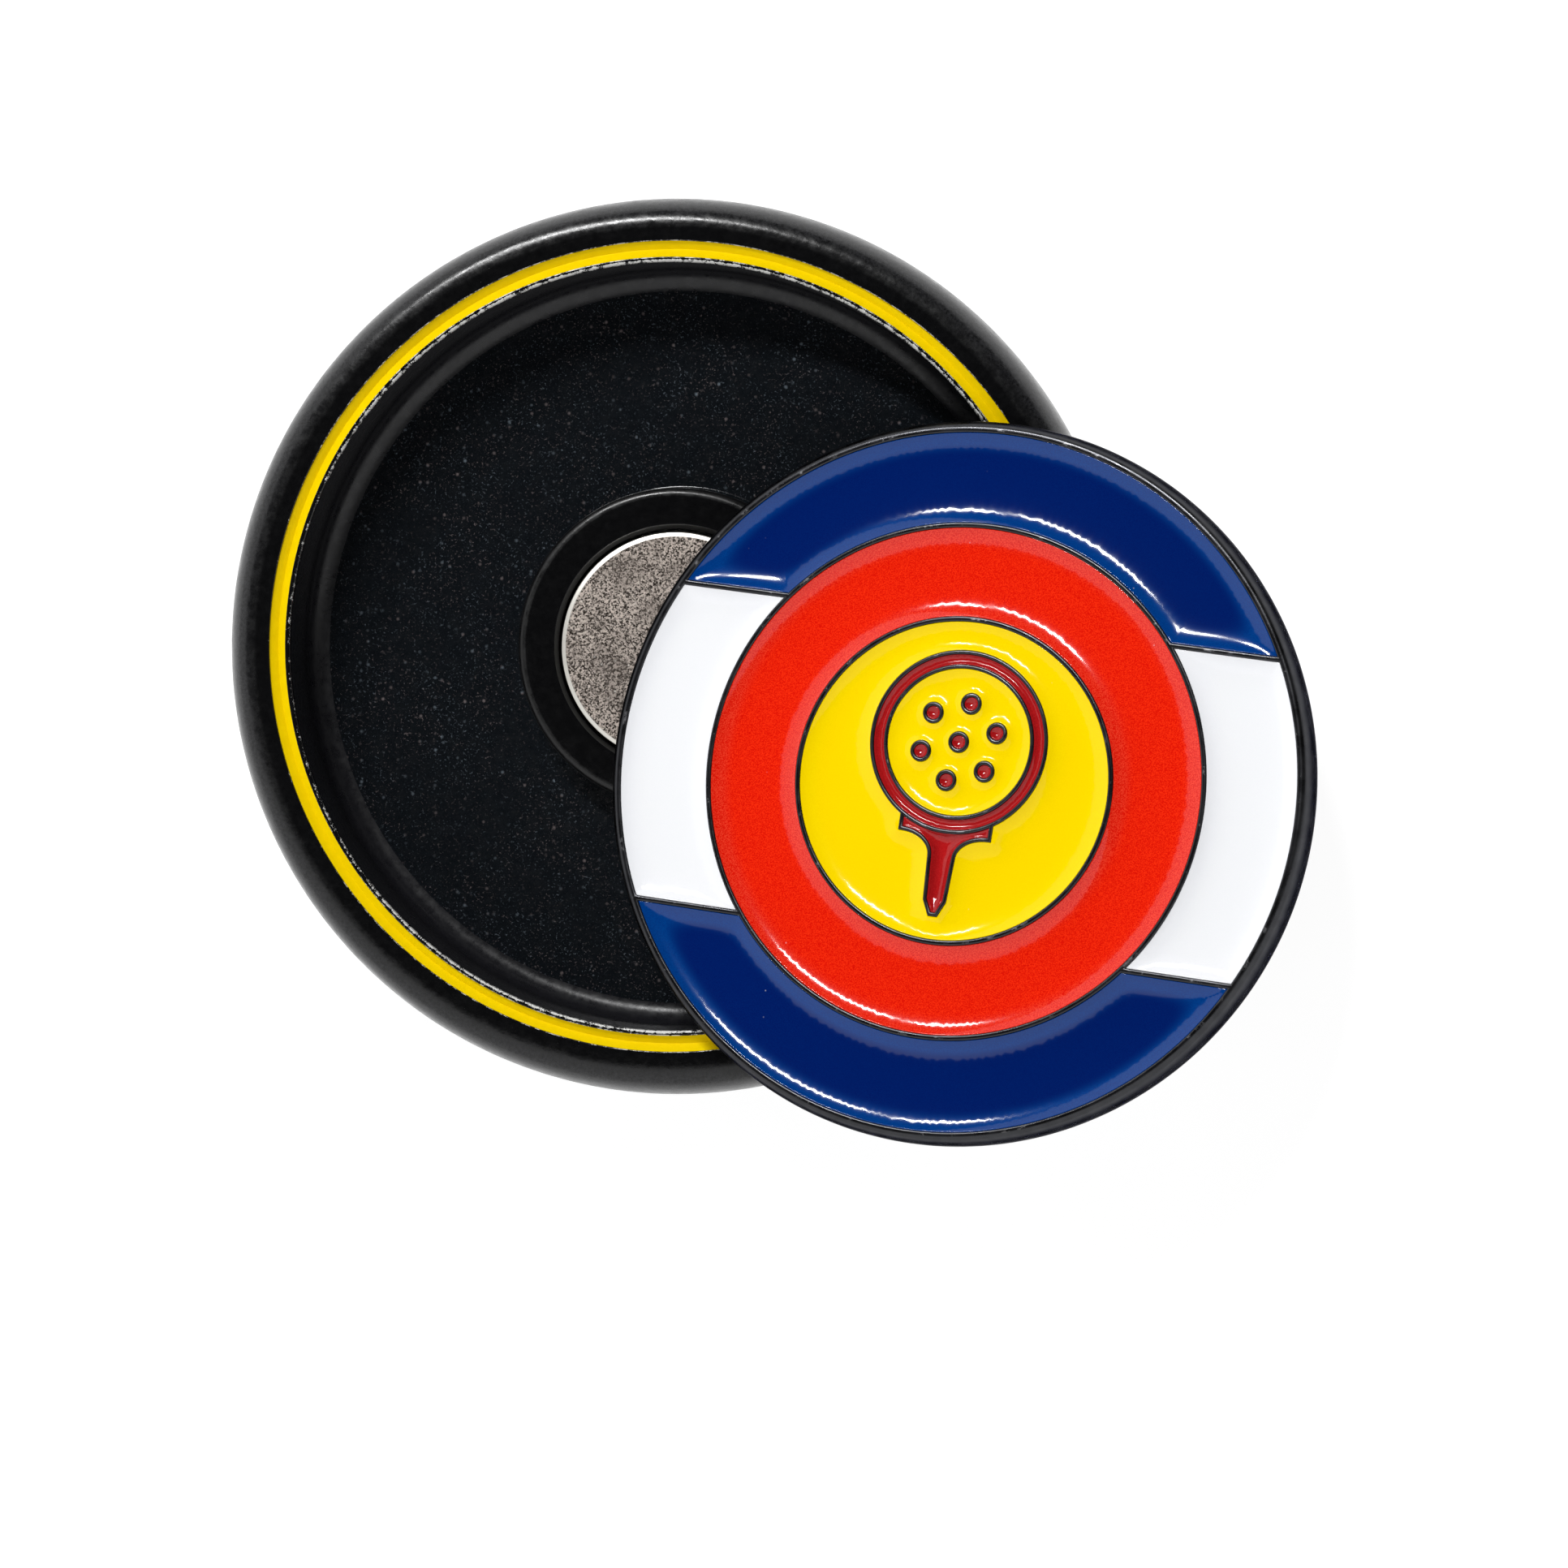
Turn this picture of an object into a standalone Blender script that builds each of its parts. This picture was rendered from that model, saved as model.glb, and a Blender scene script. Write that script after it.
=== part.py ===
"""Ball marker: a round die-cast holder with a magnet, and a soft-enamel coin that leans in it.

Metres, +Z up. The origin is the centre of the holder's underside, with the holder's axis along Z.
The coin is modelled flat about its own axis, then laid in the holder by the empty "coin_seat".
"""
from math import acos, asin, cos, hypot, pi, radians, sin, sqrt

import bpy
from mathutils import Matrix, Vector
from mathutils.geometry import tessellate_polygon

MM = 0.001
SAME_PLACE = 0.00001 * MM
GAP = 0.02 * MM                 # between enamel or glue and the metal around it
TURN_STEPS = 72                 # facets round a turned piece
MAGNET_STEPS = 48
CIRCLE_STEPS = 60               # facets round a circular cell
BALL_STEPS = 40
DIMPLE_STEPS = 10
ARC_STEP = radians(5)           # facets along the arcs of a cell outline
COARSE_STEPS = 2                # facets across a small rounding
FINE_STEPS = 4                  # and across a large one
SMOOTH_ANGLE = radians(40)
MITRE_LIMIT = 0.35

# Holder
HOLDER_R = 20.0 * MM
RIM_Z = 6.0 * MM
RIM_FLAT_R = 18.4 * MM          # outer edge of the flat rim
EDGE_TOP_Z = 3.4 * MM           # the side is upright between these two heights
EDGE_BASE_Z = 2.6 * MM
BASE_FLAT_R = 18.2 * MM
GROOVE_OUTER_R = 17.97 * MM
GROOVE_INNER_R = 17.26 * MM
GROOVE_DEPTH = 0.50 * MM
YELLOW_BELOW_RIM = 0.26 * MM
LIP_R = 17.02 * MM
LIP_CHAMFER = 0.08 * MM
FLOOR_Z = 1.1 * MM
FLOOR_R = 16.1 * MM             # flat floor, inside the fillet
BOSS_R = 7.15 * MM
BOSS_ROUND = 0.45 * MM
BOSS_FILLET = 0.15 * MM

# Magnet and its pocket in the boss
MAGNET_R = 5.15 * MM
MAGNET_THICKNESS = 2.0 * MM
MAGNET_ROUND = 0.2 * MM
MAGNET_BELOW_RIM = 2.35 * MM
MAGNET_ABOVE_BOSS = 0.12 * MM
POCKET_R = 5.30 * MM
POCKET_MOUTH_R = 5.5 * MM
GLUE_THICKNESS = 0.15 * MM

# Coin
COIN_R = 15.875 * MM
COIN_THICKNESS = 2.4 * MM
COIN_EDGE_Z = 1.2 * MM          # widest line of the rounded edge
COIN_BACK_R = 15.1 * MM         # flat underside
COIN_FACE_R = 15.42 * MM        # outer edge of the flat metal rim
CELL_DEPTH = 0.55 * MM
ENAMEL_BELOW_LINES = 0.16 * MM
LINE = 0.22 * MM                # raised metal line between two cells
FIELD_R = 15.28 * MM            # outer edge of the enamelled face
STRIPE_HALF = 7.07 * MM         # half width of the white stripe
RING_OUTER_R = 11.20 * MM       # middle of the line round the red ring
RING_INNER_R = 7.08 * MM        # middle of the line between the ring and the disc
EMBLEM_LINE = 0.17 * MM         # metal line round the emblem's bands
BALL_CENTRE_Y = 1.70 * MM
BALL_R = 3.85 * MM
BALL_BAND = 0.46 * MM
DIMPLE_R = 0.30 * MM
DIMPLE_PITCH = 1.75 * MM        # middle dimple to the ring of dimples
RING_DIMPLES = 6
DIMPLE_TURN = radians(20)
TEE_CUP_HALF = 1.95 * MM
TEE_LIP = 0.45 * MM
TEE_CUP_DROP = 1.10 * MM
TEE_STEM_HALF = 0.46 * MM
TEE_FOOT_HALF = 0.36 * MM
TEE_TIP_HALF = 0.10 * MM
TEE_POINT = 0.55 * MM           # height of the pointed end
TEE_TIP_Y = -5.80 * MM
TEE_CURVE_STEPS = 6

# How the coin lies in the holder
COIN_OFFSET = 14.6 * MM         # holder's axis to the middle of the coin's underside
COIN_BEARING = radians(-24.6)   # side of the holder that the coin overlaps
COIN_SPIN = radians(-8.0)
CONTACT_GAP = 0.03 * MM
STEEPEST_LEAN = radians(40)
LEAN_HALVINGS = 40              # of the range that holds the lean
RIM_CHECKS = 180                # points round a quarter of each circle of the rim


# ---------------------------------------------------------------- materials

def material(name, colour, roughness, metallic=0.0):
    shade = bpy.data.materials.new(name)
    shade.use_nodes = True
    shader = shade.node_tree.nodes["Principled BSDF"]
    shader.inputs["Base Color"].default_value = (*colour, 1.0)
    shader.inputs["Roughness"].default_value = roughness
    shader.inputs["Metallic"].default_value = metallic
    return shade


# ---------------------------------------------------------------- mesh tools

def add_object(name, vertices, faces, shade):
    mesh = bpy.data.meshes.new(name)
    mesh.from_pydata(vertices, [], faces)
    mesh.validate()
    mesh.shade_smooth()
    mesh.set_sharp_from_angle(angle=SMOOTH_ANGLE)
    obj = bpy.data.objects.new(name, mesh)
    bpy.context.scene.collection.objects.link(obj)
    mesh.materials.append(shade)
    return obj


class Shell:
    """Points and faces of one closed surface. Points in the same place share one number."""

    def __init__(self):
        self.vertices = []
        self.faces = []
        self.numbers = {}

    def number(self, x, y, z):
        key = (round(x / SAME_PLACE), round(y / SAME_PLACE), round(z / SAME_PLACE))
        if key not in self.numbers:
            self.numbers[key] = len(self.vertices)
            self.vertices.append((x, y, z))
        return self.numbers[key]

    def wall(self, loop, low, high):
        """Upright wall that faces out of an anticlockwise loop, and into a clockwise one."""
        for (x, y), (next_x, next_y) in zip(loop, loop[1:] + loop[:1]):
            corners = [(x, y, low), (next_x, next_y, low), (next_x, next_y, high), (x, y, high)]
            self.faces.append([self.number(*corner) for corner in corners])

    def cover(self, outline, holes, height, faces_up=True):
        """Flat face at one height, inside the outline and outside the holes."""
        loops = [[Vector((x, y, height)) for x, y in loop] for loop in [outline] + holes]
        points = [point for loop in loops for point in loop]
        for a, b, c in tessellate_polygon(loops):
            turns_left = (points[b] - points[a]).cross(points[c] - points[a]).z > 0
            corners = (a, b, c) if turns_left == faces_up else (a, c, b)
            self.faces.append([self.number(*points[corner]) for corner in corners])

    def turn(self, profile, steps=TURN_STEPS):
        """Side faces of a profile that runs down the outside of a turned shape."""
        for (upper_r, upper_z), (lower_r, lower_z) in zip(profile, profile[1:]):
            upper = circle(upper_r, steps=steps)
            lower = circle(lower_r, steps=steps)
            for step in range(steps):
                after = (step + 1) % steps
                corners = [(*upper[step], upper_z), (*lower[step], lower_z)]
                corners += [(*lower[after], lower_z), (*upper[after], upper_z)]
                self.faces.append([self.number(*corner) for corner in corners])

    def disc(self, radius, height, steps=TURN_STEPS, faces_up=True):
        ring = [self.number(x, y, height) for x, y in circle(radius, steps=steps)]
        self.faces.append(ring if faces_up else ring[::-1])

    def finish(self, name, shade):
        return add_object(name, self.vertices, self.faces, shade)


def turned(name, profile, shade, steps=TURN_STEPS):
    """Solid of revolution. A flat disc closes each end of the profile."""
    shell = Shell()
    shell.turn(profile, steps)
    shell.disc(*profile[0], steps=steps)
    shell.disc(*profile[-1], steps=steps, faces_up=False)
    return shell.finish(name, shade)


def prism(name, outline, holes, low, high, shade):
    """Upright solid between two heights over an anticlockwise outline with anticlockwise holes."""
    shell = Shell()
    shell.cover(outline, holes, high)
    shell.cover(outline, holes, low, faces_up=False)
    shell.wall(outline, low, high)
    for hole in holes:
        shell.wall(hole[::-1], low, high)
    return shell.finish(name, shade)


def arc(radius, start, end, centre_y=0.0):
    """Points on a circle about (0, centre_y), both ends included."""
    steps = max(2, round(abs(end - start) / ARC_STEP))
    angles = [start + (end - start) * step / steps for step in range(steps + 1)]
    return [(radius * cos(angle), centre_y + radius * sin(angle)) for angle in angles]


def circle(radius, centre=(0.0, 0.0), steps=CIRCLE_STEPS):
    angles = [2 * pi * step / steps for step in range(steps)]
    return [(centre[0] + radius * cos(angle), centre[1] + radius * sin(angle)) for angle in angles]


def quarter(centre_r, centre_z, half_r, half_z, start, end, steps):
    """Part of an ellipse in a turned profile, angles in degrees from +r towards +z."""
    angles = [radians(start + (end - start) * step / steps) for step in range(steps + 1)]
    return [(centre_r + half_r * cos(angle), centre_z + half_z * sin(angle)) for angle in angles]


def round_corner(centre_r, centre_z, radius, start, end, steps):
    return quarter(centre_r, centre_z, radius, radius, start, end, steps)


# ---------------------------------------------------------------- holder

def holder_tray(shade):
    magnet_top = RIM_Z - MAGNET_BELOW_RIM
    boss_top = magnet_top - MAGNET_ABOVE_BOSS
    pocket_floor = magnet_top - MAGNET_THICKNESS - GLUE_THICKNESS
    shoulder = POCKET_MOUTH_R - POCKET_R
    wall_fillet = LIP_R - FLOOR_R
    profile = [(POCKET_R, pocket_floor), (POCKET_R, boss_top - shoulder)]
    profile += [(POCKET_MOUTH_R, boss_top)]
    profile += round_corner(BOSS_R - BOSS_ROUND, boss_top - BOSS_ROUND, BOSS_ROUND, 90, 0, COARSE_STEPS)
    profile += [(BOSS_R, FLOOR_Z + BOSS_FILLET), (BOSS_R + BOSS_FILLET, FLOOR_Z)]
    profile += round_corner(FLOOR_R, FLOOR_Z + wall_fillet, wall_fillet, -90, 0, FINE_STEPS)
    profile += [(LIP_R, RIM_Z - LIP_CHAMFER), (LIP_R + LIP_CHAMFER, RIM_Z)]
    profile += [(GROOVE_INNER_R, RIM_Z), (GROOVE_INNER_R, RIM_Z - GROOVE_DEPTH)]
    profile += [(GROOVE_OUTER_R, RIM_Z - GROOVE_DEPTH), (GROOVE_OUTER_R, RIM_Z)]
    over = (HOLDER_R - RIM_FLAT_R, RIM_Z - EDGE_TOP_Z)
    under = (HOLDER_R - BASE_FLAT_R, EDGE_BASE_Z)
    profile += quarter(RIM_FLAT_R, EDGE_TOP_Z, *over, 90, 0, FINE_STEPS + 1)
    profile += quarter(BASE_FLAT_R, EDGE_BASE_Z, *under, 0, -90, FINE_STEPS)
    return turned("holder_tray", profile, shade)


def yellow_enamel_line(shade):
    low = RIM_Z - GROOVE_DEPTH + GAP
    high = RIM_Z - YELLOW_BELOW_RIM
    inner = GROOVE_INNER_R + GAP
    outer = GROOVE_OUTER_R - GAP
    outline = circle(outer, steps=TURN_STEPS)
    hole = circle(inner, steps=TURN_STEPS)
    return prism("yellow_enamel_line", outline, [hole], low, high, shade)


def magnet(shade):
    top = RIM_Z - MAGNET_BELOW_RIM
    base = top - MAGNET_THICKNESS
    flat_r = MAGNET_R - MAGNET_ROUND
    profile = round_corner(flat_r, top - MAGNET_ROUND, MAGNET_ROUND, 90, 0, COARSE_STEPS)
    profile += round_corner(flat_r, base + MAGNET_ROUND, MAGNET_ROUND, 0, -90, COARSE_STEPS)
    return turned("magnet", profile, shade, steps=MAGNET_STEPS)


def magnet_glue(shade):
    top = RIM_Z - MAGNET_BELOW_RIM - MAGNET_THICKNESS - GAP
    base = top - GLUE_THICKNESS + 2 * GAP
    spread = MAGNET_R - MAGNET_ROUND
    return turned("magnet_glue", [(spread, top), (spread, base)], shade, steps=MAGNET_STEPS)


# ---------------------------------------------------------------- coin cells
# Each outline takes the distance by which the pool stays back from the metal: 0 for the cell itself.

def blue_outline(back):
    """Segment above the stripe, with the red ring's line bitten out of its straight side."""
    outer = FIELD_R - back
    notch = RING_OUTER_R + LINE / 2 + back
    edge = STRIPE_HALF + LINE / 2 + back
    right = asin(edge / outer)
    bite = asin(edge / notch)
    return arc(outer, right, pi - right) + arc(notch, pi - bite, bite)


def white_outline(back):
    """Right-hand end of the stripe, between the red ring's line and the coin's rim."""
    outer = FIELD_R - back
    inner = RING_OUTER_R + LINE / 2 + back
    edge = STRIPE_HALF - LINE / 2 - back
    far = asin(edge / outer)
    near = asin(edge / inner)
    return arc(outer, -far, far) + arc(inner, near, -near)


def turned_half(outline):
    """The same outline turned half way round the coin."""
    return [(-x, -y) for x, y in outline]


def offset_outline(outline, distance):
    """Move each side of an anticlockwise outline outwards by the distance."""
    moved = []
    for index, point in enumerate(outline):
        before = outline[index - 1]
        after = outline[(index + 1) % len(outline)]
        first = Vector((point[0] - before[0], point[1] - before[1])).normalized()
        second = Vector((after[0] - point[0], after[1] - point[1])).normalized()
        normal = Vector((first.y + second.y, -first.x - second.x)).normalized()
        reach = distance / max(normal.dot(Vector((first.y, -first.x))), MITRE_LIMIT)
        moved.append((point[0] + normal.x * reach, point[1] + normal.y * reach))
    return moved


def tee_outline():
    """Golf tee: from the cup's left corner, anticlockwise, to its top, which follows the ball."""
    seat_r = BALL_R + EMBLEM_LINE
    seat_angle = acos(TEE_CUP_HALF / seat_r)
    cup_y = BALL_CENTRE_Y - seat_r * sin(seat_angle)
    lip_y = cup_y - TEE_LIP
    flare = TEE_CUP_HALF - TEE_STEM_HALF
    left_side = [(-TEE_CUP_HALF, cup_y)]
    for step in range(TEE_CURVE_STEPS + 1):
        turn = pi / 2 * step / TEE_CURVE_STEPS
        left_side.append((flare * sin(turn) - TEE_CUP_HALF, lip_y - TEE_CUP_DROP * (1 - cos(turn))))
    left_side.append((-TEE_FOOT_HALF, TEE_TIP_Y + TEE_POINT))
    left_side.append((-TEE_TIP_HALF, TEE_TIP_Y))
    right_side = [(-x, y) for x, y in reversed(left_side)]
    top = arc(seat_r, -seat_angle, seat_angle - pi, BALL_CENTRE_Y)
    return left_side + right_side + top[1:-1]


def emblem_outline(grow):
    """Outside of the whole emblem: the ball's circle with the tee below it."""
    ball_r = BALL_R + grow
    tee = offset_outline(tee_outline(), grow)
    below = [point for point in tee if hypot(point[0], point[1] - BALL_CENTRE_Y) > ball_r + GAP]
    joint = acos((TEE_CUP_HALF + grow) / ball_r)
    return below + arc(ball_r, -joint, pi + joint, BALL_CENTRE_Y)


def dimple_centres():
    """A middle dimple with a ring of dimples round it."""
    centres = [(0.0, BALL_CENTRE_Y)]
    for index in range(RING_DIMPLES):
        angle = DIMPLE_TURN + 2 * pi * index / RING_DIMPLES
        centres.append((DIMPLE_PITCH * cos(angle), BALL_CENTRE_Y + DIMPLE_PITCH * sin(angle)))
    return centres


def coin_cells(back):
    """Outline and holes of every enamel cell, each kept back from the metal by the given distance."""
    disc_r = RING_INNER_R - LINE / 2 - back
    inner_ball_r = BALL_R - BALL_BAND - EMBLEM_LINE
    centre = (0.0, BALL_CENTRE_Y)
    dimples = [circle(DIMPLE_R + EMBLEM_LINE + back, middle, DIMPLE_STEPS) for middle in dimple_centres()]
    cells = {
        "blue_enamel_top": (blue_outline(back), []),
        "blue_enamel_bottom": (turned_half(blue_outline(back)), []),
        "white_enamel_right": (white_outline(back), []),
        "white_enamel_left": (turned_half(white_outline(back)), []),
        "red_enamel_ring": (
            circle(RING_OUTER_R - LINE / 2 - back),
            [circle(RING_INNER_R + LINE / 2 + back)],
        ),
        "gold_enamel_field": (circle(disc_r), [emblem_outline(EMBLEM_LINE + back)]),
        "red_enamel_ball": (
            circle(BALL_R - back, centre, BALL_STEPS),
            [circle(BALL_R - BALL_BAND + back, centre, BALL_STEPS)],
        ),
        "gold_enamel_ball": (circle(inner_ball_r - back, centre, BALL_STEPS), dimples),
        "red_enamel_tee": (offset_outline(tee_outline(), -back), []),
    }
    for number, middle in enumerate(dimple_centres(), start=1):
        cells[f"red_enamel_dimple_{number}"] = (circle(DIMPLE_R - back, middle, DIMPLE_STEPS), [])
    return cells


# ---------------------------------------------------------------- coin

def metal_faces(cells):
    """Outline and holes of each stretch of metal between the cells, at the height of the lines."""
    around = ["blue_enamel_top", "blue_enamel_bottom", "white_enamel_left", "white_enamel_right"]
    around.append("red_enamel_ring")
    ring_hole = cells["red_enamel_ring"][1][0]
    emblem_edge = cells["gold_enamel_field"][1][0]
    ball_hole = cells["red_enamel_ball"][1][0]
    stretches = [
        (circle(COIN_FACE_R, steps=TURN_STEPS), [cells[name][0] for name in around]),
        (ring_hole, [cells["gold_enamel_field"][0]]),
        (emblem_edge, [cells["red_enamel_ball"][0], cells["red_enamel_tee"][0]]),
        (ball_hole, [cells["gold_enamel_ball"][0]]),
    ]
    for number, dimple_edge in enumerate(cells["gold_enamel_ball"][1], start=1):
        stretches.append((dimple_edge, [cells[f"red_enamel_dimple_{number}"][0]]))
    return stretches


def coin_blank(shade):
    half_top = COIN_THICKNESS - COIN_EDGE_Z
    profile = quarter(COIN_FACE_R, COIN_EDGE_Z, COIN_R - COIN_FACE_R, half_top, 90, 0, FINE_STEPS)
    lower = quarter(COIN_BACK_R, COIN_EDGE_Z, COIN_R - COIN_BACK_R, COIN_EDGE_Z, 0, -90, FINE_STEPS)
    profile += lower[1:]
    cells = coin_cells(0.0)
    shell = Shell()
    shell.turn(profile)
    shell.disc(*profile[-1], faces_up=False)
    for outline, holes in metal_faces(cells):
        shell.cover(outline, holes, COIN_THICKNESS)
    cell_floor = COIN_THICKNESS - CELL_DEPTH
    for outline, holes in cells.values():
        shell.cover(outline, holes, cell_floor)
        shell.wall(outline[::-1], cell_floor, COIN_THICKNESS)
        for hole in holes:
            shell.wall(hole, cell_floor, COIN_THICKNESS)
    return shell.finish("coin_blank", shade)


def enamel_pools(shades):
    low = COIN_THICKNESS - CELL_DEPTH + GAP
    high = COIN_THICKNESS - ENAMEL_BELOW_LINES
    pools = []
    for name, (outline, holes) in coin_cells(GAP).items():
        in_emblem = name.startswith("red") and name != "red_enamel_ring"
        shade = shades["emblem"] if in_emblem else shades[name.split("_")[0]]
        pools.append(prism(name, outline, holes, low, high, shade))
    return pools


# ---------------------------------------------------------------- how the coin lies

def underside_height(radius):
    """Height of the coin's lower surface above its flat back, at a distance from its middle."""
    if radius <= COIN_BACK_R:
        return 0.0
    across = (radius - COIN_BACK_R) / (COIN_R - COIN_BACK_R)
    return COIN_EDGE_Z * (1 - sqrt(max(0.0, 1 - across * across)))


def lowest_height(lean):
    """Lowest point of the leaning coin, measured from the middle of its underside."""
    half_r = COIN_R - COIN_BACK_R
    reach = sqrt((half_r * sin(lean)) ** 2 + (COIN_EDGE_Z * cos(lean)) ** 2)
    return COIN_EDGE_Z * cos(lean) - COIN_BACK_R * sin(lean) - reach


def rim_clearance(lean, height):
    """Smallest gap, square to the coin, between its underside and the rim's flat top."""
    smallest = COIN_R
    for ring in (LIP_R + LIP_CHAMFER, GROOVE_INNER_R, GROOVE_OUTER_R, RIM_FLAT_R):
        for step in range(RIM_CHECKS + 1):
            angle = pi / 2 * step / RIM_CHECKS
            along = ring * cos(angle) - COIN_OFFSET
            rise = RIM_Z - height
            in_plane = along * cos(lean) + rise * sin(lean)
            below = -along * sin(lean) + rise * cos(lean)
            radius = hypot(in_plane, ring * sin(angle))
            if radius < COIN_R:
                smallest = min(smallest, underside_height(radius) - below)
    return smallest


def resting_coin():
    """Lean and height at which the coin touches both the magnet and the rim."""
    magnet_top = RIM_Z - MAGNET_BELOW_RIM
    shallow = 0.0
    steep = STEEPEST_LEAN
    for _ in range(LEAN_HALVINGS):
        lean = (shallow + steep) / 2
        height = magnet_top + CONTACT_GAP - lowest_height(lean)
        if rim_clearance(lean, height) > CONTACT_GAP:
            steep = lean
        else:
            shallow = lean
    return lean, height


def coin_seat():
    """Empty at the middle of the coin's underside, turned as the coin lies."""
    lean, height = resting_coin()
    side = Vector((cos(COIN_BEARING), sin(COIN_BEARING), 0.0))
    hinge_line = Vector((side.y, -side.x, 0.0))
    seat = bpy.data.objects.new("coin_seat", None)
    bpy.context.scene.collection.objects.link(seat)
    place = Matrix.Translation(side * COIN_OFFSET + Vector((0.0, 0.0, height)))
    seat.matrix_world = place @ Matrix.Rotation(lean, 4, hinge_line) @ Matrix.Rotation(COIN_SPIN, 4, "Z")
    return seat


# ---------------------------------------------------------------- assembly

def build():
    for obj in list(bpy.data.objects):
        bpy.data.objects.remove(obj, do_unlink=True)

    black_paint = material("black_paint", (0.012, 0.013, 0.015), 0.28)
    black_plate = material("black_plate", (0.020, 0.021, 0.024), 0.30, metallic=1.0)
    nickel = material("nickel", (0.72, 0.69, 0.64), 0.35, metallic=1.0)
    glue = material("clear_glue", (0.55, 0.52, 0.42), 0.40)
    yellow = material("yellow_enamel", (0.90, 0.72, 0.01), 0.20)
    enamels = {
        "blue": material("blue_enamel", (0.005, 0.050, 0.380), 0.08),
        "white": material("white_enamel", (0.90, 0.91, 0.93), 0.08),
        "red": material("red_enamel", (0.90, 0.030, 0.012), 0.08),
        "gold": material("gold_enamel", (0.95, 0.66, 0.005), 0.08),
        "emblem": material("emblem_red", (0.45, 0.010, 0.015), 0.08),
    }

    holder_tray(black_paint)
    yellow_enamel_line(yellow)
    magnet(nickel)
    magnet_glue(glue)

    seat = coin_seat()
    for piece in [coin_blank(black_plate)] + enamel_pools(enamels):
        piece.parent = seat
    bpy.context.view_layer.update()


build()
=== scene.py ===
"""Looks of the ball marker: fine meshes, procedural materials, studio light and a camera.

Lengths are in millimetres, and MM turns them into the frame's metres when a mesh is made.
The holder stands on the frame's origin. The coin's own frame is read from its CAD meshes.
"""
from math import acos, asin, cos, hypot, pi, radians, sin, tan

import bpy
import numpy as np
from mathutils import Matrix, Vector
from mathutils.geometry import delaunay_2d_cdt, tessellate_polygon


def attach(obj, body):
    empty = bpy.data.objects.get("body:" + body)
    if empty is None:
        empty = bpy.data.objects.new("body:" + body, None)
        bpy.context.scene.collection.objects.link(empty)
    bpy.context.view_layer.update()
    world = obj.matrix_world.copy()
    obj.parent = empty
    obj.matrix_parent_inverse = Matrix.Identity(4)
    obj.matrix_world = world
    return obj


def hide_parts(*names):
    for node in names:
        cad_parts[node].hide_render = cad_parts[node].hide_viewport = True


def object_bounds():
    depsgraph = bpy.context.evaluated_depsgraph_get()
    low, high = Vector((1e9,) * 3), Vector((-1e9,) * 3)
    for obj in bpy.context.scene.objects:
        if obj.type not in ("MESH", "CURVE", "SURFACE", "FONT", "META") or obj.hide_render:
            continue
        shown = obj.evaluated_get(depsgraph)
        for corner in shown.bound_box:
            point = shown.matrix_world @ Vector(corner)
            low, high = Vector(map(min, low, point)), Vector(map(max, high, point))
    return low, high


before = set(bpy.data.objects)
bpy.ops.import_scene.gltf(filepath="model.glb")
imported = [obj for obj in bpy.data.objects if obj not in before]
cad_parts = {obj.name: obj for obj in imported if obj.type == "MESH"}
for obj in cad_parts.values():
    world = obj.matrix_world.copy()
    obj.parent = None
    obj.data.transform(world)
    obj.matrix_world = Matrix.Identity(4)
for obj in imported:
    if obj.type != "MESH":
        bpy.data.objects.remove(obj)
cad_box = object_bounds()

MM = 0.001
SAME_PLACE = 0.0001             # points closer than this are one point
SMOOTH_ANGLE = radians(35)      # edges that turn further stay sharp
ELLIPSE = 2.0                   # fullness of a rounded edge, and more is squarer

# Holder
HOLDER_R = 20.0
RIM_Z = 6.0
SHOULDER_R = 18.5               # the flat rim ends here and the side rounds over
SHOULDER_FULLNESS = 2.65
SHOULDER_START = 89             # degrees: just past the flat rim
SHOULDER_STEPS = 24
FOOT_STEPS = 12
CORNER_STEPS = 8                # along each rounded corner inside the tray
EDGE_TOP_Z = 3.4                # the side is upright between these two heights
EDGE_BASE_Z = 2.6
BASE_FLAT_R = 18.2
GROOVE_OUTER_R = 17.97
GROOVE_INNER_R = 17.26
GROOVE_DEPTH = 0.50
GROOVE_ROUND = 0.04
LIP_R = 17.02
LIP_ROUND = 0.10
FLOOR_Z = 1.1
FLOOR_R = 16.1
BOSS_R = 7.15
BOSS_ROUND = 0.32
BOSS_FILLET = 0.15
HOLDER_STEPS = 288
YELLOW_BELOW_RIM = 0.12         # at the groove's walls
YELLOW_DIP = 0.27               # further down along the middle of the line
YELLOW_CREASE = 0.02            # radius of the rounded bottom of the V

# Magnet
MAGNET_R = 5.15
MAGNET_THICKNESS = 2.0
MAGNET_ROUND = 0.08
MAGNET_BEVEL = 0.20             # width of the bright slope round the face
MAGNET_BEVEL_DROP = 0.06
MAGNET_BEVEL_ROUND = 0.30
MAGNET_CENTRE_R = 0.4           # the middle of the face is one small disc
MAGNET_CORNER_STEPS = 6
MAGNET_BELOW_RIM = 2.35
MAGNET_ABOVE_BOSS = 0.12
MAGNET_STEPS = 160
POCKET_R = 5.30
POCKET_MOUTH_R = 5.5
GLUE_THICKNESS = 0.15

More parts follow.
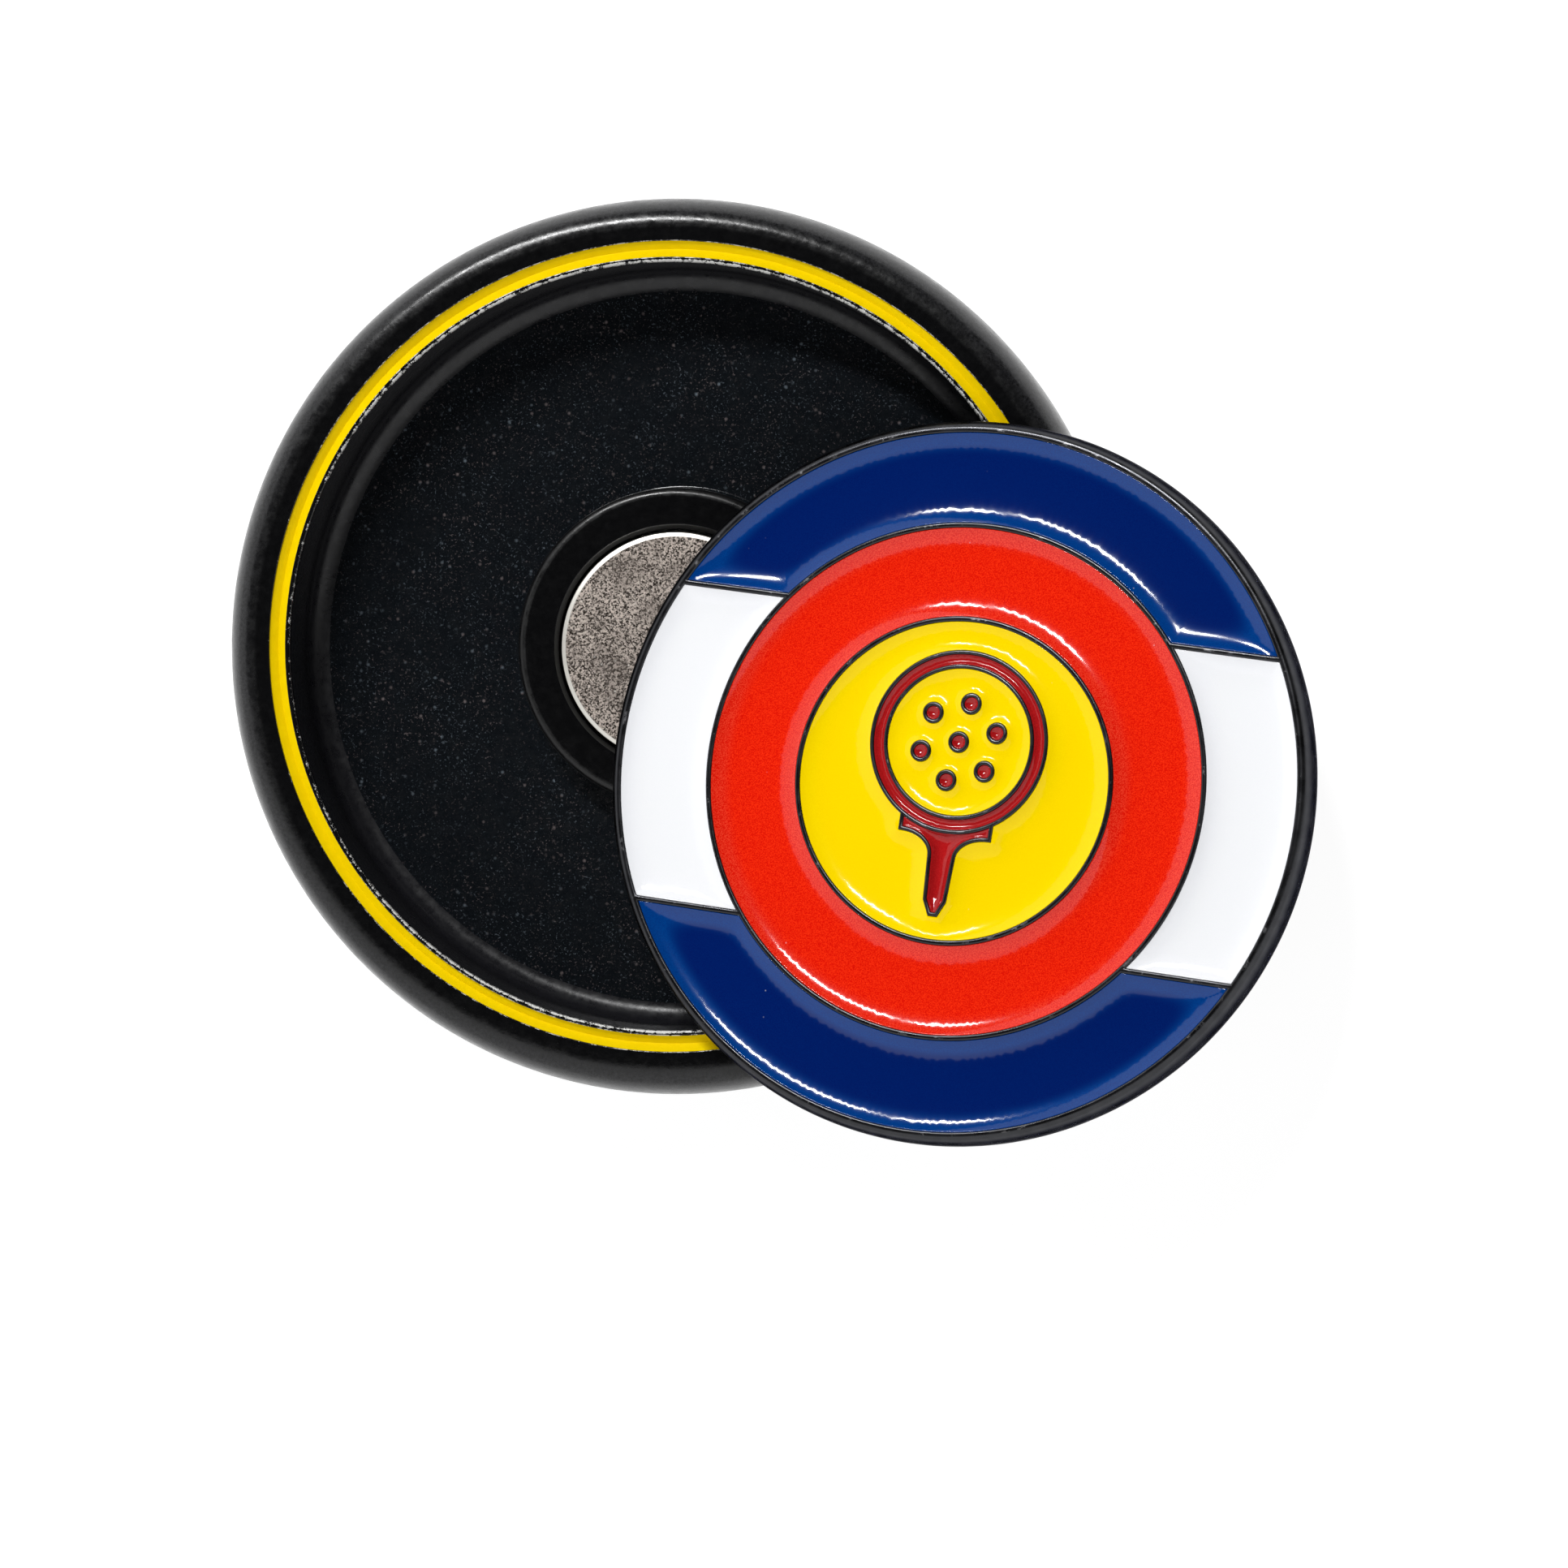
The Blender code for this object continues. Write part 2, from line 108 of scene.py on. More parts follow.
# Coin
COIN_R = 15.875
COIN_THICKNESS = 2.4
COIN_EDGE_Z = 1.2               # widest line of the rounded edge
COIN_BACK_R = 15.1
COIN_FACE_R = 15.42
COIN_EDGE_FULLNESS = 2.2
COIN_EDGE_STEPS = (14, 12)      # above and below the widest line
COIN_STEPS = 288
CELL_DEPTH = 0.55
LINE = 0.22                     # raised metal line between two cells
LINE_ROUND = 0.05               # height over which every line rounds over
LINE_CROWN = 0.084              # and width
ROUND_STEPS = 4
FIELD_R = 15.28
STRIPE_HALF = 7.07
RING_OUTER_R = 11.20
RING_INNER_R = 7.08
EMBLEM_LINE = 0.17
MITRE_LIMIT = 0.35
BALL_CENTRE_Y = 1.70
BALL_R = 3.85
BALL_BAND = 0.46
DIMPLE_R = 0.30
DIMPLE_PITCH = 1.75
RING_DIMPLES = 6
DIMPLE_TURN = radians(20)
TEE_CUP_HALF = 1.95
TEE_LIP = 0.45
TEE_CUP_DROP = 1.10
TEE_STEM_HALF = 0.46
TEE_FOOT_HALF = 0.36
TEE_TIP_HALF = 0.10
TEE_POINT = 0.55
TEE_TIP_Y = -5.80
TEE_CURVE_STEPS = 14
ARC_LENGTH = 0.16               # spacing of the points along a cell's outline
FEWEST_CIRCLE_STEPS = 28
FEWEST_ARC_STEPS = 6

# Enamel pools: the colour climbs the metal at every border and settles flat in the middle
POOL_GAP = 0.004
POOL_BELOW_LINES = 0.07         # at the border
POOL_RISE = 0.36                # from the flat middle up to the border
MENISCUS = 0.50                 # distance over which the climb dies away
EMBLEM_MENISCUS = 0.20          # and in the emblem's narrow red cells
POOL_BACKS = (0.05, 0.11, 0.18, 0.26, 0.35, 0.45, 0.56, 0.68, 0.82, 0.98, 1.17, 1.40)
POOL_GRID = 0.34
ROW_TOLERANCE = 0.1             # share of its distance by which a row's point may be off
SETTLING_STEPS = 1200
SMOOTHINGS = 5                  # times each slope is averaged with its neighbours'
EMBLEM_SMOOTHINGS = 1


# ---- meshes

def add_object(name, data):
    thing = bpy.data.objects.new(name, data)
    bpy.context.scene.collection.objects.link(thing)
    return thing


def add_piece(name, shell, shade, body, node, place=Matrix.Scale(MM, 4)):
    """A finished piece in the frame's metres, riding on its body and standing for its CAD node."""
    mesh = bpy.data.meshes.new(name)
    mesh.from_pydata([place @ Vector(vertex) for vertex in shell.vertices], [], shell.faces)
    mesh.validate()
    mesh.shade_smooth()
    mesh.set_sharp_from_angle(angle=SMOOTH_ANGLE)
    mesh.materials.append(shade)
    piece = add_object(name, mesh)
    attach(piece, body)
    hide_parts(node)
    return piece


def add_attribute(piece, name, values):
    """One number for each vertex, which a material can read."""
    attribute = piece.data.attributes.new(name, "FLOAT", "POINT")
    attribute.data.foreach_set("value", np.array(values, np.float32))


class Shell:
    """Points and faces of one closed surface. Points in the same place share one number."""

    def __init__(self):
        self.vertices = []
        self.faces = []
        self.numbers = {}

    def number(self, x, y, z):
        key = (round(x / SAME_PLACE), round(y / SAME_PLACE), round(z / SAME_PLACE))
        if key not in self.numbers:
            self.numbers[key] = len(self.vertices)
            self.vertices.append((x, y, z))
        return self.numbers[key]

    def strip(self, lower, upper):
        """Faces between two loops of the same length, each point being (x, y, z)."""
        lower_next = lower[1:] + lower[:1]
        upper_next = upper[1:] + upper[:1]
        for corners in zip(lower, lower_next, upper_next, upper):
            self.faces.append([self.number(*corner) for corner in corners])

    def cover(self, outline, holes, height):
        """Flat face that looks up, inside the outline and outside the holes."""
        loops = [[Vector((x, y, height)) for x, y in loop] for loop in [outline] + holes]
        points = [point for loop in loops for point in loop]
        for a, b, c in tessellate_polygon(loops):
            turns_left = (points[b] - points[a]).cross(points[c] - points[a]).z > 0
            corners = (a, b, c) if turns_left else (a, c, b)
            self.faces.append([self.number(*points[corner]) for corner in corners])

    def turn(self, profile, steps):
        """Side faces of a profile that runs down the outside of a turned shape."""
        rings = [at_height(circle(radius, steps=steps), height) for radius, height in profile]
        for upper, lower in zip(rings, rings[1:]):
            self.strip(lower, upper)

    def turn_solid(self, profile, steps):
        """The same with a flat disc at each end, the first looking up and the last down."""
        self.turn(profile, steps)
        self.disc(*profile[0], steps)
        self.disc(*profile[-1], steps, faces_up=False)

    def disc(self, radius, height, steps, faces_up=True):
        ring = [self.number(x, y, height) for x, y in circle(radius, steps=steps)]
        self.faces.append(ring if faces_up else ring[::-1])


def at_height(loop, height):
    return [(x, y, height) for x, y in loop]


def circle(radius, centre=(0.0, 0.0), steps=None):
    steps = steps or max(FEWEST_CIRCLE_STEPS, round(2 * pi * radius / ARC_LENGTH))
    angles = [2 * pi * step / steps for step in range(steps)]
    return [(centre[0] + radius * cos(angle), centre[1] + radius * sin(angle)) for angle in angles]


def arc(radius, start, end, centre_y=0.0):
    """Points on a circle about (0, centre_y), both ends included."""
    steps = max(FEWEST_ARC_STEPS, round(abs(end - start) * radius / ARC_LENGTH))
    angles = [start + (end - start) * step / steps for step in range(steps + 1)]
    return [(radius * cos(angle), centre_y + radius * sin(angle)) for angle in angles]


def rounded(corners, steps=5):
    """Open profile through corners (r, z, rounding), each but the ends replaced by an arc."""
    points = [corners[0][:2]]
    for before, corner, after in zip(corners, corners[1:], corners[2:]):
        here = Vector(corner[:2])
        back = (Vector(before[:2]) - here).normalized()
        ahead = (Vector(after[:2]) - here).normalized()
        half_angle = back.angle(ahead) / 2
        middle = here + (back + ahead).normalized() * (corner[2] / sin(half_angle))
        start = here + back * (corner[2] / tan(half_angle)) - middle
        end = here + ahead * (corner[2] / tan(half_angle)) - middle
        for step in range(steps + 1 if corner[2] else 1):
            spoke = start.lerp(end, step / steps).normalized() * corner[2]
            points.append(tuple(middle + spoke))
    return points + [corners[-1][:2]]


def over_edge(centre_r, centre_z, half_r, half_z, start, end, fullness, steps):
    """Part of a superellipse in a turned profile, angles in degrees from +r towards +z."""
    points = []
    for step in range(steps + 1):
        angle = radians(start + (end - start) * step / steps)
        across = abs(cos(angle)) ** (2 / fullness)
        up = abs(sin(angle)) ** (2 / fullness)
        up = up if sin(angle) >= 0 else -up
        points.append((centre_r + half_r * across, centre_z + half_z * up))
    return points


# ---- holder

def tray_profile():
    magnet_top = RIM_Z - MAGNET_BELOW_RIM
    boss_top = magnet_top - MAGNET_ABOVE_BOSS
    pocket_floor = magnet_top - MAGNET_THICKNESS - GLUE_THICKNESS
    pocket_corner = boss_top - (POCKET_MOUTH_R - POCKET_R)
    groove_floor = RIM_Z - GROOVE_DEPTH
    profile = rounded([
        (POCKET_R, pocket_floor, 0.0),
        (POCKET_R, pocket_corner, GROOVE_ROUND),
        (POCKET_MOUTH_R, boss_top, GROOVE_ROUND),
        (BOSS_R, boss_top, BOSS_ROUND),
        (BOSS_R, FLOOR_Z, BOSS_FILLET),
        (LIP_R, FLOOR_Z, LIP_R - FLOOR_R),
        (LIP_R, RIM_Z, LIP_ROUND),
        (GROOVE_INNER_R, RIM_Z, GROOVE_ROUND),
        (GROOVE_INNER_R, groove_floor, GROOVE_ROUND),
        (GROOVE_OUTER_R, groove_floor, GROOVE_ROUND),
        (GROOVE_OUTER_R, RIM_Z, GROOVE_ROUND),
        (SHOULDER_R, RIM_Z, 0.0),
    ], CORNER_STEPS)
    shoulder = (HOLDER_R - SHOULDER_R, RIM_Z - EDGE_TOP_Z)
    foot = (HOLDER_R - BASE_FLAT_R, EDGE_BASE_Z)
    rounding = (SHOULDER_START, 0, SHOULDER_FULLNESS, SHOULDER_STEPS)
    profile += over_edge(SHOULDER_R, EDGE_TOP_Z, *shoulder, *rounding)
    profile += over_edge(BASE_FLAT_R, EDGE_BASE_Z, *foot, 0, -90, ELLIPSE, FOOT_STEPS)
    return profile


def holder_tray(shade):
    shell = Shell()
    shell.turn_solid(tray_profile(), HOLDER_STEPS)
    add_piece("tray", shell, shade, "holder", "holder_tray")


def yellow_line(shade):
    """Ring of enamel that lines the groove, in the shape of a shallow V."""
    inner = GROOVE_INNER_R + POOL_GAP
    outer = GROOVE_OUTER_R - POOL_GAP
    middle = (inner + outer) / 2
    low = RIM_Z - GROOVE_DEPTH + GROOVE_ROUND
    top = RIM_Z - YELLOW_BELOW_RIM
    profile = rounded([
        (inner, low, 0.0),
        (inner, top, 0.0),
        (middle, top - YELLOW_DIP, YELLOW_CREASE),
        (outer, top, 0.0),
        (outer, low, 0.0),
    ])
    shell = Shell()
    shell.turn(profile + profile[:1], HOLDER_STEPS)
    add_piece("yellow_line", shell, shade, "holder", "yellow_enamel_line")


def magnet(shade):
    top = RIM_Z - MAGNET_BELOW_RIM
    base = top - MAGNET_THICKNESS
    profile = rounded([
        (MAGNET_CENTRE_R, top, 0.0),
        (MAGNET_R - MAGNET_BEVEL, top, MAGNET_BEVEL_ROUND),
        (MAGNET_R, top - MAGNET_BEVEL_DROP, MAGNET_ROUND),
        (MAGNET_R, base, MAGNET_ROUND),
        (MAGNET_CENTRE_R, base, 0.0),
    ], MAGNET_CORNER_STEPS)
    shell = Shell()
    shell.turn_solid(profile, MAGNET_STEPS)
    add_piece("magnet_disc", shell, shade, "holder", "magnet")


# ---- coin cells
# Each outline takes the distance by which it stays back from the metal: 0 for the cell itself.

def blue_outline(back):
    """Segment above the stripe, with the red ring's line bitten out of its straight side."""
    outer = FIELD_R - back
    notch = RING_OUTER_R + LINE / 2 + back
    edge = STRIPE_HALF + LINE / 2 + back
    right = asin(edge / outer)
    bite = asin(edge / notch)
    corner = (outer * cos(right), edge)
    inner_corner = (notch * cos(bite), edge)
    joined = arc(outer, right, pi - right) + straight(mirrored(corner), mirrored(inner_corner))
    return joined + arc(notch, pi - bite, bite) + straight(inner_corner, corner)


def white_outline(back):
    """Right-hand end of the stripe, between the red ring's line and the coin's rim."""
    outer = FIELD_R - back
    inner = RING_OUTER_R + LINE / 2 + back
    edge = STRIPE_HALF - LINE / 2 - back
    far = asin(edge / outer)
    near = asin(edge / inner)
    top_out = (outer * cos(far), edge)
    top_in = (inner * cos(near), edge)
    joined = arc(outer, -far, far) + straight(top_out, top_in) + arc(inner, near, -near)
    return joined + straight((top_in[0], -edge), (top_out[0], -edge))


def straight(start, end):
    """Points between two corners, with neither corner."""
    (x, y), (end_x, end_y) = start, end
    steps = max(1, round(hypot(end_x - x, end_y - y) / ARC_LENGTH))
    shares = [step / steps for step in range(1, steps)]
    return [(x + (end_x - x) * share, y + (end_y - y) * share) for share in shares]


def mirrored(point):
    return (-point[0], point[1])


def turned_half(outline):
    """The same outline turned half way round the coin."""
    return [(-x, -y) for x, y in outline]


def offset_outline(outline, distance):
    """Move each side of an anticlockwise outline outwards by the distance."""
    moved = []
    for index, point in enumerate(outline):
        before = outline[index - 1]
        after = outline[(index + 1) % len(outline)]
        first = Vector((point[0] - before[0], point[1] - before[1])).normalized()
        second = Vector((after[0] - point[0], after[1] - point[1])).normalized()
        normal = Vector((first.y + second.y, -first.x - second.x)).normalized()
        reach = distance / max(normal.dot(Vector((first.y, -first.x))), MITRE_LIMIT)
        moved.append((point[0] + normal.x * reach, point[1] + normal.y * reach))
    return moved


def tee_outline():
    """Golf tee: from the cup's left corner, anticlockwise, to its top, which follows the ball."""
    seat_r = BALL_R + EMBLEM_LINE
    seat_angle = acos(TEE_CUP_HALF / seat_r)
    cup_y = BALL_CENTRE_Y - seat_r * sin(seat_angle)
    lip_y = cup_y - TEE_LIP
    flare = TEE_CUP_HALF - TEE_STEM_HALF
    left_side = [(-TEE_CUP_HALF, cup_y)]
    for step in range(TEE_CURVE_STEPS + 1):
        turn = pi / 2 * step / TEE_CURVE_STEPS
        left_side.append((flare * sin(turn) - TEE_CUP_HALF, lip_y - TEE_CUP_DROP * (1 - cos(turn))))
    foot = (-TEE_FOOT_HALF, TEE_TIP_Y + TEE_POINT)
    left_side += straight(left_side[-1], foot) + [foot, (-TEE_TIP_HALF, TEE_TIP_Y)]
    right_side = [mirrored(point) for point in reversed(left_side)]
    top = arc(seat_r, -seat_angle, seat_angle - pi, BALL_CENTRE_Y)
    return left_side + right_side + top[1:-1]


def emblem_outline(grow):
    """Outside of the whole emblem: the ball's circle with the tee below it."""
    ball_r = BALL_R + grow
    tee = offset_outline(tee_outline(), grow)
    below = [(x, y) for x, y in tee if hypot(x, y - BALL_CENTRE_Y) > ball_r + SAME_PLACE]
    joint = acos((TEE_CUP_HALF + grow) / ball_r)
    return below + arc(ball_r, -joint, pi + joint, BALL_CENTRE_Y)


def dimple_centres():
    """A middle dimple with a ring of dimples round it."""
    centres = [(0.0, BALL_CENTRE_Y)]
    for index in range(RING_DIMPLES):
        angle = DIMPLE_TURN + 2 * pi * index / RING_DIMPLES
        centres.append((DIMPLE_PITCH * cos(angle), BALL_CENTRE_Y + DIMPLE_PITCH * sin(angle)))
    return centres


def coin_cells(back):
    """Outline and holes of every enamel cell, each kept back from the metal by this distance."""
    disc_r = RING_INNER_R - LINE / 2 - back
    band_r = BALL_R - BALL_BAND + back
    inner_ball_r = BALL_R - BALL_BAND - EMBLEM_LINE
    centre = (0.0, BALL_CENTRE_Y)
    dimples = [circle(DIMPLE_R + EMBLEM_LINE + back, middle) for middle in dimple_centres()]
    cells = {
        "blue_enamel_top": (blue_outline(back), []),
        "blue_enamel_bottom": (turned_half(blue_outline(back)), []),
        "white_enamel_right": (white_outline(back), []),
        "white_enamel_left": (turned_half(white_outline(back)), []),
        "red_enamel_ring": (
            circle(RING_OUTER_R - LINE / 2 - back),
            [circle(RING_INNER_R + LINE / 2 + back)],
        ),
        "gold_enamel_field": (circle(disc_r), [emblem_outline(EMBLEM_LINE + back)]),
        "red_enamel_ball": (circle(BALL_R - back, centre), [circle(band_r, centre)]),
        "gold_enamel_ball": (circle(inner_ball_r - back, centre), dimples),
        "red_enamel_tee": (offset_outline(tee_outline(), -back), []),
    }
    for number, middle in enumerate(dimple_centres(), start=1):
        cells[f"red_enamel_dimple_{number}"] = (circle(DIMPLE_R - back, middle), [])
    return cells


# ---- coin

def cad_points(node):
    """A CAD node's vertices as rows of an array, in metres."""
    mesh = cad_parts[node].data
    points = np.zeros(len(mesh.vertices) * 3)
    mesh.vertices.foreach_get("co", points)
    return points.reshape(-1, 3)


def coin_place():
    """Matrix from the coin's own millimetres to the frame.

    Its origin is the middle of the underside, with Y towards the top and Z out of the face.
    """
    ring = cad_points("red_enamel_ring")
    middle = ring.mean(0)
    normal = np.linalg.svd(ring - middle, full_matrices=False)[2][2]
    normal *= np.sign(normal[2])
    up = cad_points("blue_enamel_top").mean(0) - middle
    up -= normal * (up @ normal)
    up /= np.linalg.norm(up)
    axes = np.array([np.cross(up, normal), up, normal])
    spans = cad_points("coin_blank") @ axes.T
    origin = (spans.min(0) + spans.max(0)) / 2
    origin[2] = spans[:, 2].min()
    place = Matrix.Translation(Vector(origin @ axes)) @ Matrix(axes.T.tolist()).to_4x4()
    return place @ Matrix.Scale(MM, 4)


def cell_wall(shell, loop, is_hole=False):
    """Wall up from a cell's floor, rounded over onto the metal, whose edge it gives back."""
    levels = [at_height(loop, COIN_THICKNESS - CELL_DEPTH)]
    for step in range(ROUND_STEPS + 1):
        angle = pi / 2 * step / ROUND_STEPS
        shift = LINE_CROWN * (1 - cos(angle)) * (-1 if is_hole else 1)
        edge = offset_outline(loop, shift)
        levels.append(at_height(edge, COIN_THICKNESS - LINE_ROUND * (1 - sin(angle))))
    if not is_hole:
        levels = [level[::-1] for level in levels]
    for lower, upper in zip(levels, levels[1:]):
        shell.strip(lower, upper)
    return edge


def coin_blank(shade, place):
    upper_steps, lower_steps = COIN_EDGE_STEPS
    upper_half = (COIN_FACE_R, COIN_EDGE_Z, COIN_R - COIN_FACE_R, COIN_THICKNESS - COIN_EDGE_Z)
    lower_half = (COIN_BACK_R, COIN_EDGE_Z, COIN_R - COIN_BACK_R, COIN_EDGE_Z)
    profile = over_edge(*upper_half, 90, 0, COIN_EDGE_FULLNESS, upper_steps)
    profile += over_edge(*lower_half, 0, -90, ELLIPSE, lower_steps)[1:]
    shell = Shell()
    shell.turn(profile, COIN_STEPS)
    shell.disc(*profile[-1], COIN_STEPS, faces_up=False)
    tops = {}
    for name, (outline, holes) in coin_cells(0.0).items():
        shell.cover(outline, holes, COIN_THICKNESS - CELL_DEPTH)
        outer_top = cell_wall(shell, outline)
        tops[name] = (outer_top, [cell_wall(shell, hole, is_hole=True) for hole in holes])
    for outline, holes in metal_tops(tops):
        shell.cover(outline, holes, COIN_THICKNESS)
    piece = add_piece("coin_metal", shell, shade, "coin", "coin_blank", place)
    top_z = COIN_THICKNESS - SAME_PLACE
    add_attribute(piece, "top", [float(z > top_z) for _, _, z in shell.vertices])


def metal_tops(tops):
    """Outline and holes of each stretch of metal between the cells."""
    around = ("blue_enamel_top", "blue_enamel_bottom", "white_enamel_left", "white_enamel_right")
    outer_holes = [tops[name][0] for name in (*around, "red_enamel_ring")]
    stretches = [
        (circle(COIN_FACE_R, steps=COIN_STEPS), outer_holes),
        (tops["red_enamel_ring"][1][0], [tops["gold_enamel_field"][0]]),
        (tops["gold_enamel_field"][1][0], [tops["red_enamel_ball"][0], tops["red_enamel_tee"][0]]),
        (tops["red_enamel_ball"][1][0], [tops["gold_enamel_ball"][0]]),
    ]
    for number, dimple_edge in enumerate(tops["gold_enamel_ball"][1], start=1):
        stretches.append((dimple_edge, [tops[f"red_enamel_dimple_{number}"][0]]))
    return stretches


# ---- enamel pools

def border_distance(points, loops):
    """Distance from each point to the nearest side of any loop."""
    nearest = np.full(len(points), np.inf)
    for loop in loops:
        starts = np.array(loop)
        sides = np.roll(starts, -1, axis=0) - starts
        for start, side in zip(starts, sides):
            along = np.clip((points - start) @ side / (side @ side), 0, 1)
            gap = points - start - along[:, None] * side
            nearest = np.minimum(nearest, np.hypot(gap[:, 0], gap[:, 1]))
    return nearest


def inside(points, loops):
    """True for each point that is within the first loop and outside the others."""
    crossings = np.zeros(len(points), int)
    for loop in loops:
        for (x, y), (next_x, next_y) in zip(loop, loop[1:] + loop[:1]):
            straddles = (points[:, 1] < y) != (points[:, 1] < next_y)
            if next_y != y:
                across = x + (points[:, 1] - y) * (next_x - x) / (next_y - y)
                crossings += straddles & (points[:, 0] < across)
    return crossings % 2 == 1


def row_inside(loop, back):
    """Points at one distance to the left of a loop, fanned round each corner that points left."""
    points = []
    for index, point in enumerate(loop):
        here = Vector(point)
        before = (here - Vector(loop[index - 1])).normalized()
        after = (Vector(loop[(index + 1) % len(loop)]) - here).normalized()
        first = Vector((-before.y, before.x))
        last = Vector((-after.y, after.x))
        if before.cross(after) < 0:
            steps = 1 + round(first.angle(last) * back / ARC_LENGTH)
            spokes = [first.lerp(last, (step + 0.5) / steps).normalized() for step in range(steps)]
        else:
            middle = (first + last).normalized()
            spokes = [middle / max(middle.dot(first), MITRE_LIMIT)]
        points += [tuple(here + spoke * back) for spoke in spokes]
    return points


def pool_points(loops):
    """Points of a pool's surface: its border first, then rows along the border, then a grid."""
    border = [point for loop in loops for point in loop]
    rows = []
    for back in POOL_BACKS:
        ring = row_inside(loops[0], back)
        for hole in loops[1:]:
            ring += row_inside(hole[::-1], back)
        ring = np.array(ring)
        keep = np.abs(border_distance(ring, loops) - back) < ROW_TOLERANCE * back
        rows.append(ring[keep & inside(ring, loops)])
    corners = np.array(border)
    low, high = corners.min(0), corners.max(0)
    columns = np.arange(low[0], high[0], POOL_GRID)
    lines = np.arange(low[1], high[1], POOL_GRID * sin(pi / 3))
    shifts = [POOL_GRID / 2 * (row % 2) for row in range(len(lines))]
    grid = np.array([(x + shift, y) for shift, y in zip(shifts, lines) for x in columns])
    clear = border_distance(grid, loops) > POOL_BACKS[-1] + POOL_GRID / 2
    rows.append(grid[clear & inside(grid, loops)])
    return np.vstack([corners] + rows)


def pool_triangles(points, loops):
    """Triangles over the points that keep every side of the loops."""
    sides = []
    for loop in loops:
        first = len(sides)
        count = len(loop)
        sides += [(first + index, first + (index + 1) % count) for index in range(count)]
    made = delaunay_2d_cdt([Vector(point) for point in points], sides, [], 0, SAME_PLACE / 10)
    placed = np.array([tuple(point) for point in made[0]])
    triangles = np.array(made[2])
    middles = placed[triangles].mean(axis=1)
    return placed, triangles[inside(middles, loops)]


def settled_share(points, triangles, on_border, guess, reach):
    """Height of a liquid surface that is held up at the border.

    It is 1 there, and dies away over the reach. These are finite elements for the linear
    capillary equation, settled by repeated averaging.
    """
    count = len(points)
    weight = np.zeros(count)
    links = []
    for corner in range(3):
        tip = triangles[:, corner]
        one = triangles[:, (corner + 1) % 3]
        two = triangles[:, (corner + 2) % 3]
        first = points[one] - points[tip]
        second = points[two] - points[tip]
        twice_area = first[:, 0] * second[:, 1] - first[:, 1] * second[:, 0]
        pull = (first * second).sum(axis=1) / twice_area / 2
        links.append((one, two, pull))
        weight += np.bincount(tip, twice_area / 6, count)
    starts, ends, pulls = (np.concatenate(part) for part in zip(*links))
    pulls = np.maximum(pulls, 0.0)
    total = np.bincount(starts, pulls, count) + np.bincount(ends, pulls, count) + weight / reach**2
    share = guess.copy()
    for _ in range(SETTLING_STEPS):
        near = np.bincount(starts, pulls * share[ends], count)
        near += np.bincount(ends, pulls * share[starts], count)
        share = np.where(on_border, 1.0, near / total)
    return share


def surface_normals(points, triangles, heights, on_border, smoothings):
    """Directions square to a pool's surface, evened out over neighbours. Zero along the border."""
    count = len(points)
    corners = points[triangles]
    first = corners[:, 1] - corners[:, 0]
    second = corners[:, 2] - corners[:, 0]
    twice_area = first[:, 0] * second[:, 1] - first[:, 1] * second[:, 0]
    rise_first = heights[triangles[:, 1]] - heights[triangles[:, 0]]
    rise_second = heights[triangles[:, 2]] - heights[triangles[:, 0]]
    slopes = np.stack([
        (rise_first * second[:, 1] - rise_second * first[:, 1]) / twice_area,
        (rise_second * first[:, 0] - rise_first * second[:, 0]) / twice_area,
    ], axis=1)
    tips = triangles.T.ravel()
    area = np.tile(np.abs(twice_area), 3)
    total = np.maximum(np.bincount(tips, area, count), SAME_PLACE**2)
    for _ in range(1 + smoothings):
        spread = np.tile(slopes, (3, 1)) * area[:, None]
        sums = [np.bincount(tips, spread[:, axis], count) for axis in range(2)]
        even = np.stack([part / total for part in sums], axis=1)
        slopes = even[triangles].mean(axis=1)
    normals = np.column_stack([-even, np.ones(count)])
    normals /= np.linalg.norm(normals, axis=1)[:, None]
    return np.where(on_border[:, None], 0.0, normals)


def enamel_pool(name, shade, slot, place, reach, smoothings):
    """A pool of enamel in its cell, with its surface held up at the border over the reach."""
    outline, holes = coin_cells(POOL_GAP)[name]
    loops = [outline] + holes
    points, triangles = pool_triangles(pool_points(loops), loops)
    distance = border_distance(points, loops)
    on_border = distance < SAME_PLACE
    share = settled_share(points, triangles, on_border, np.exp(-distance / reach), reach)
    middle_z = COIN_THICKNESS - POOL_BELOW_LINES - POOL_RISE
    heights = middle_z + POOL_RISE * share
    used = list(dict.fromkeys(triangles.ravel().tolist()))
    numbers = {corner: number for number, corner in enumerate(used)}
    shell = Shell()
    shell.vertices = [(*points[corner], heights[corner]) for corner in used]
    shell.faces = [[numbers[corner] for corner in corners] for corners in triangles.tolist()]
    climbs = [share[corner] for corner in used]
    upright = surface_normals(points, triangles, heights, on_border, smoothings)
    turn = place.to_3x3().normalized()
    normals = [turn @ Vector(upright[corner]) for corner in used]
    close_below(shell, COIN_THICKNESS - CELL_DEPTH + POOL_GAP)
    below = len(shell.vertices) - len(used)
    climbs += [1.0] * below
    normals += [Vector((0.0, 0.0, 0.0))] * below
    piece = add_piece(name + "_pool", shell, shade, "coin", name, place)
    add_attribute(piece, "climb", climbs)
    piece.data.normals_split_custom_set_from_vertices(normals)


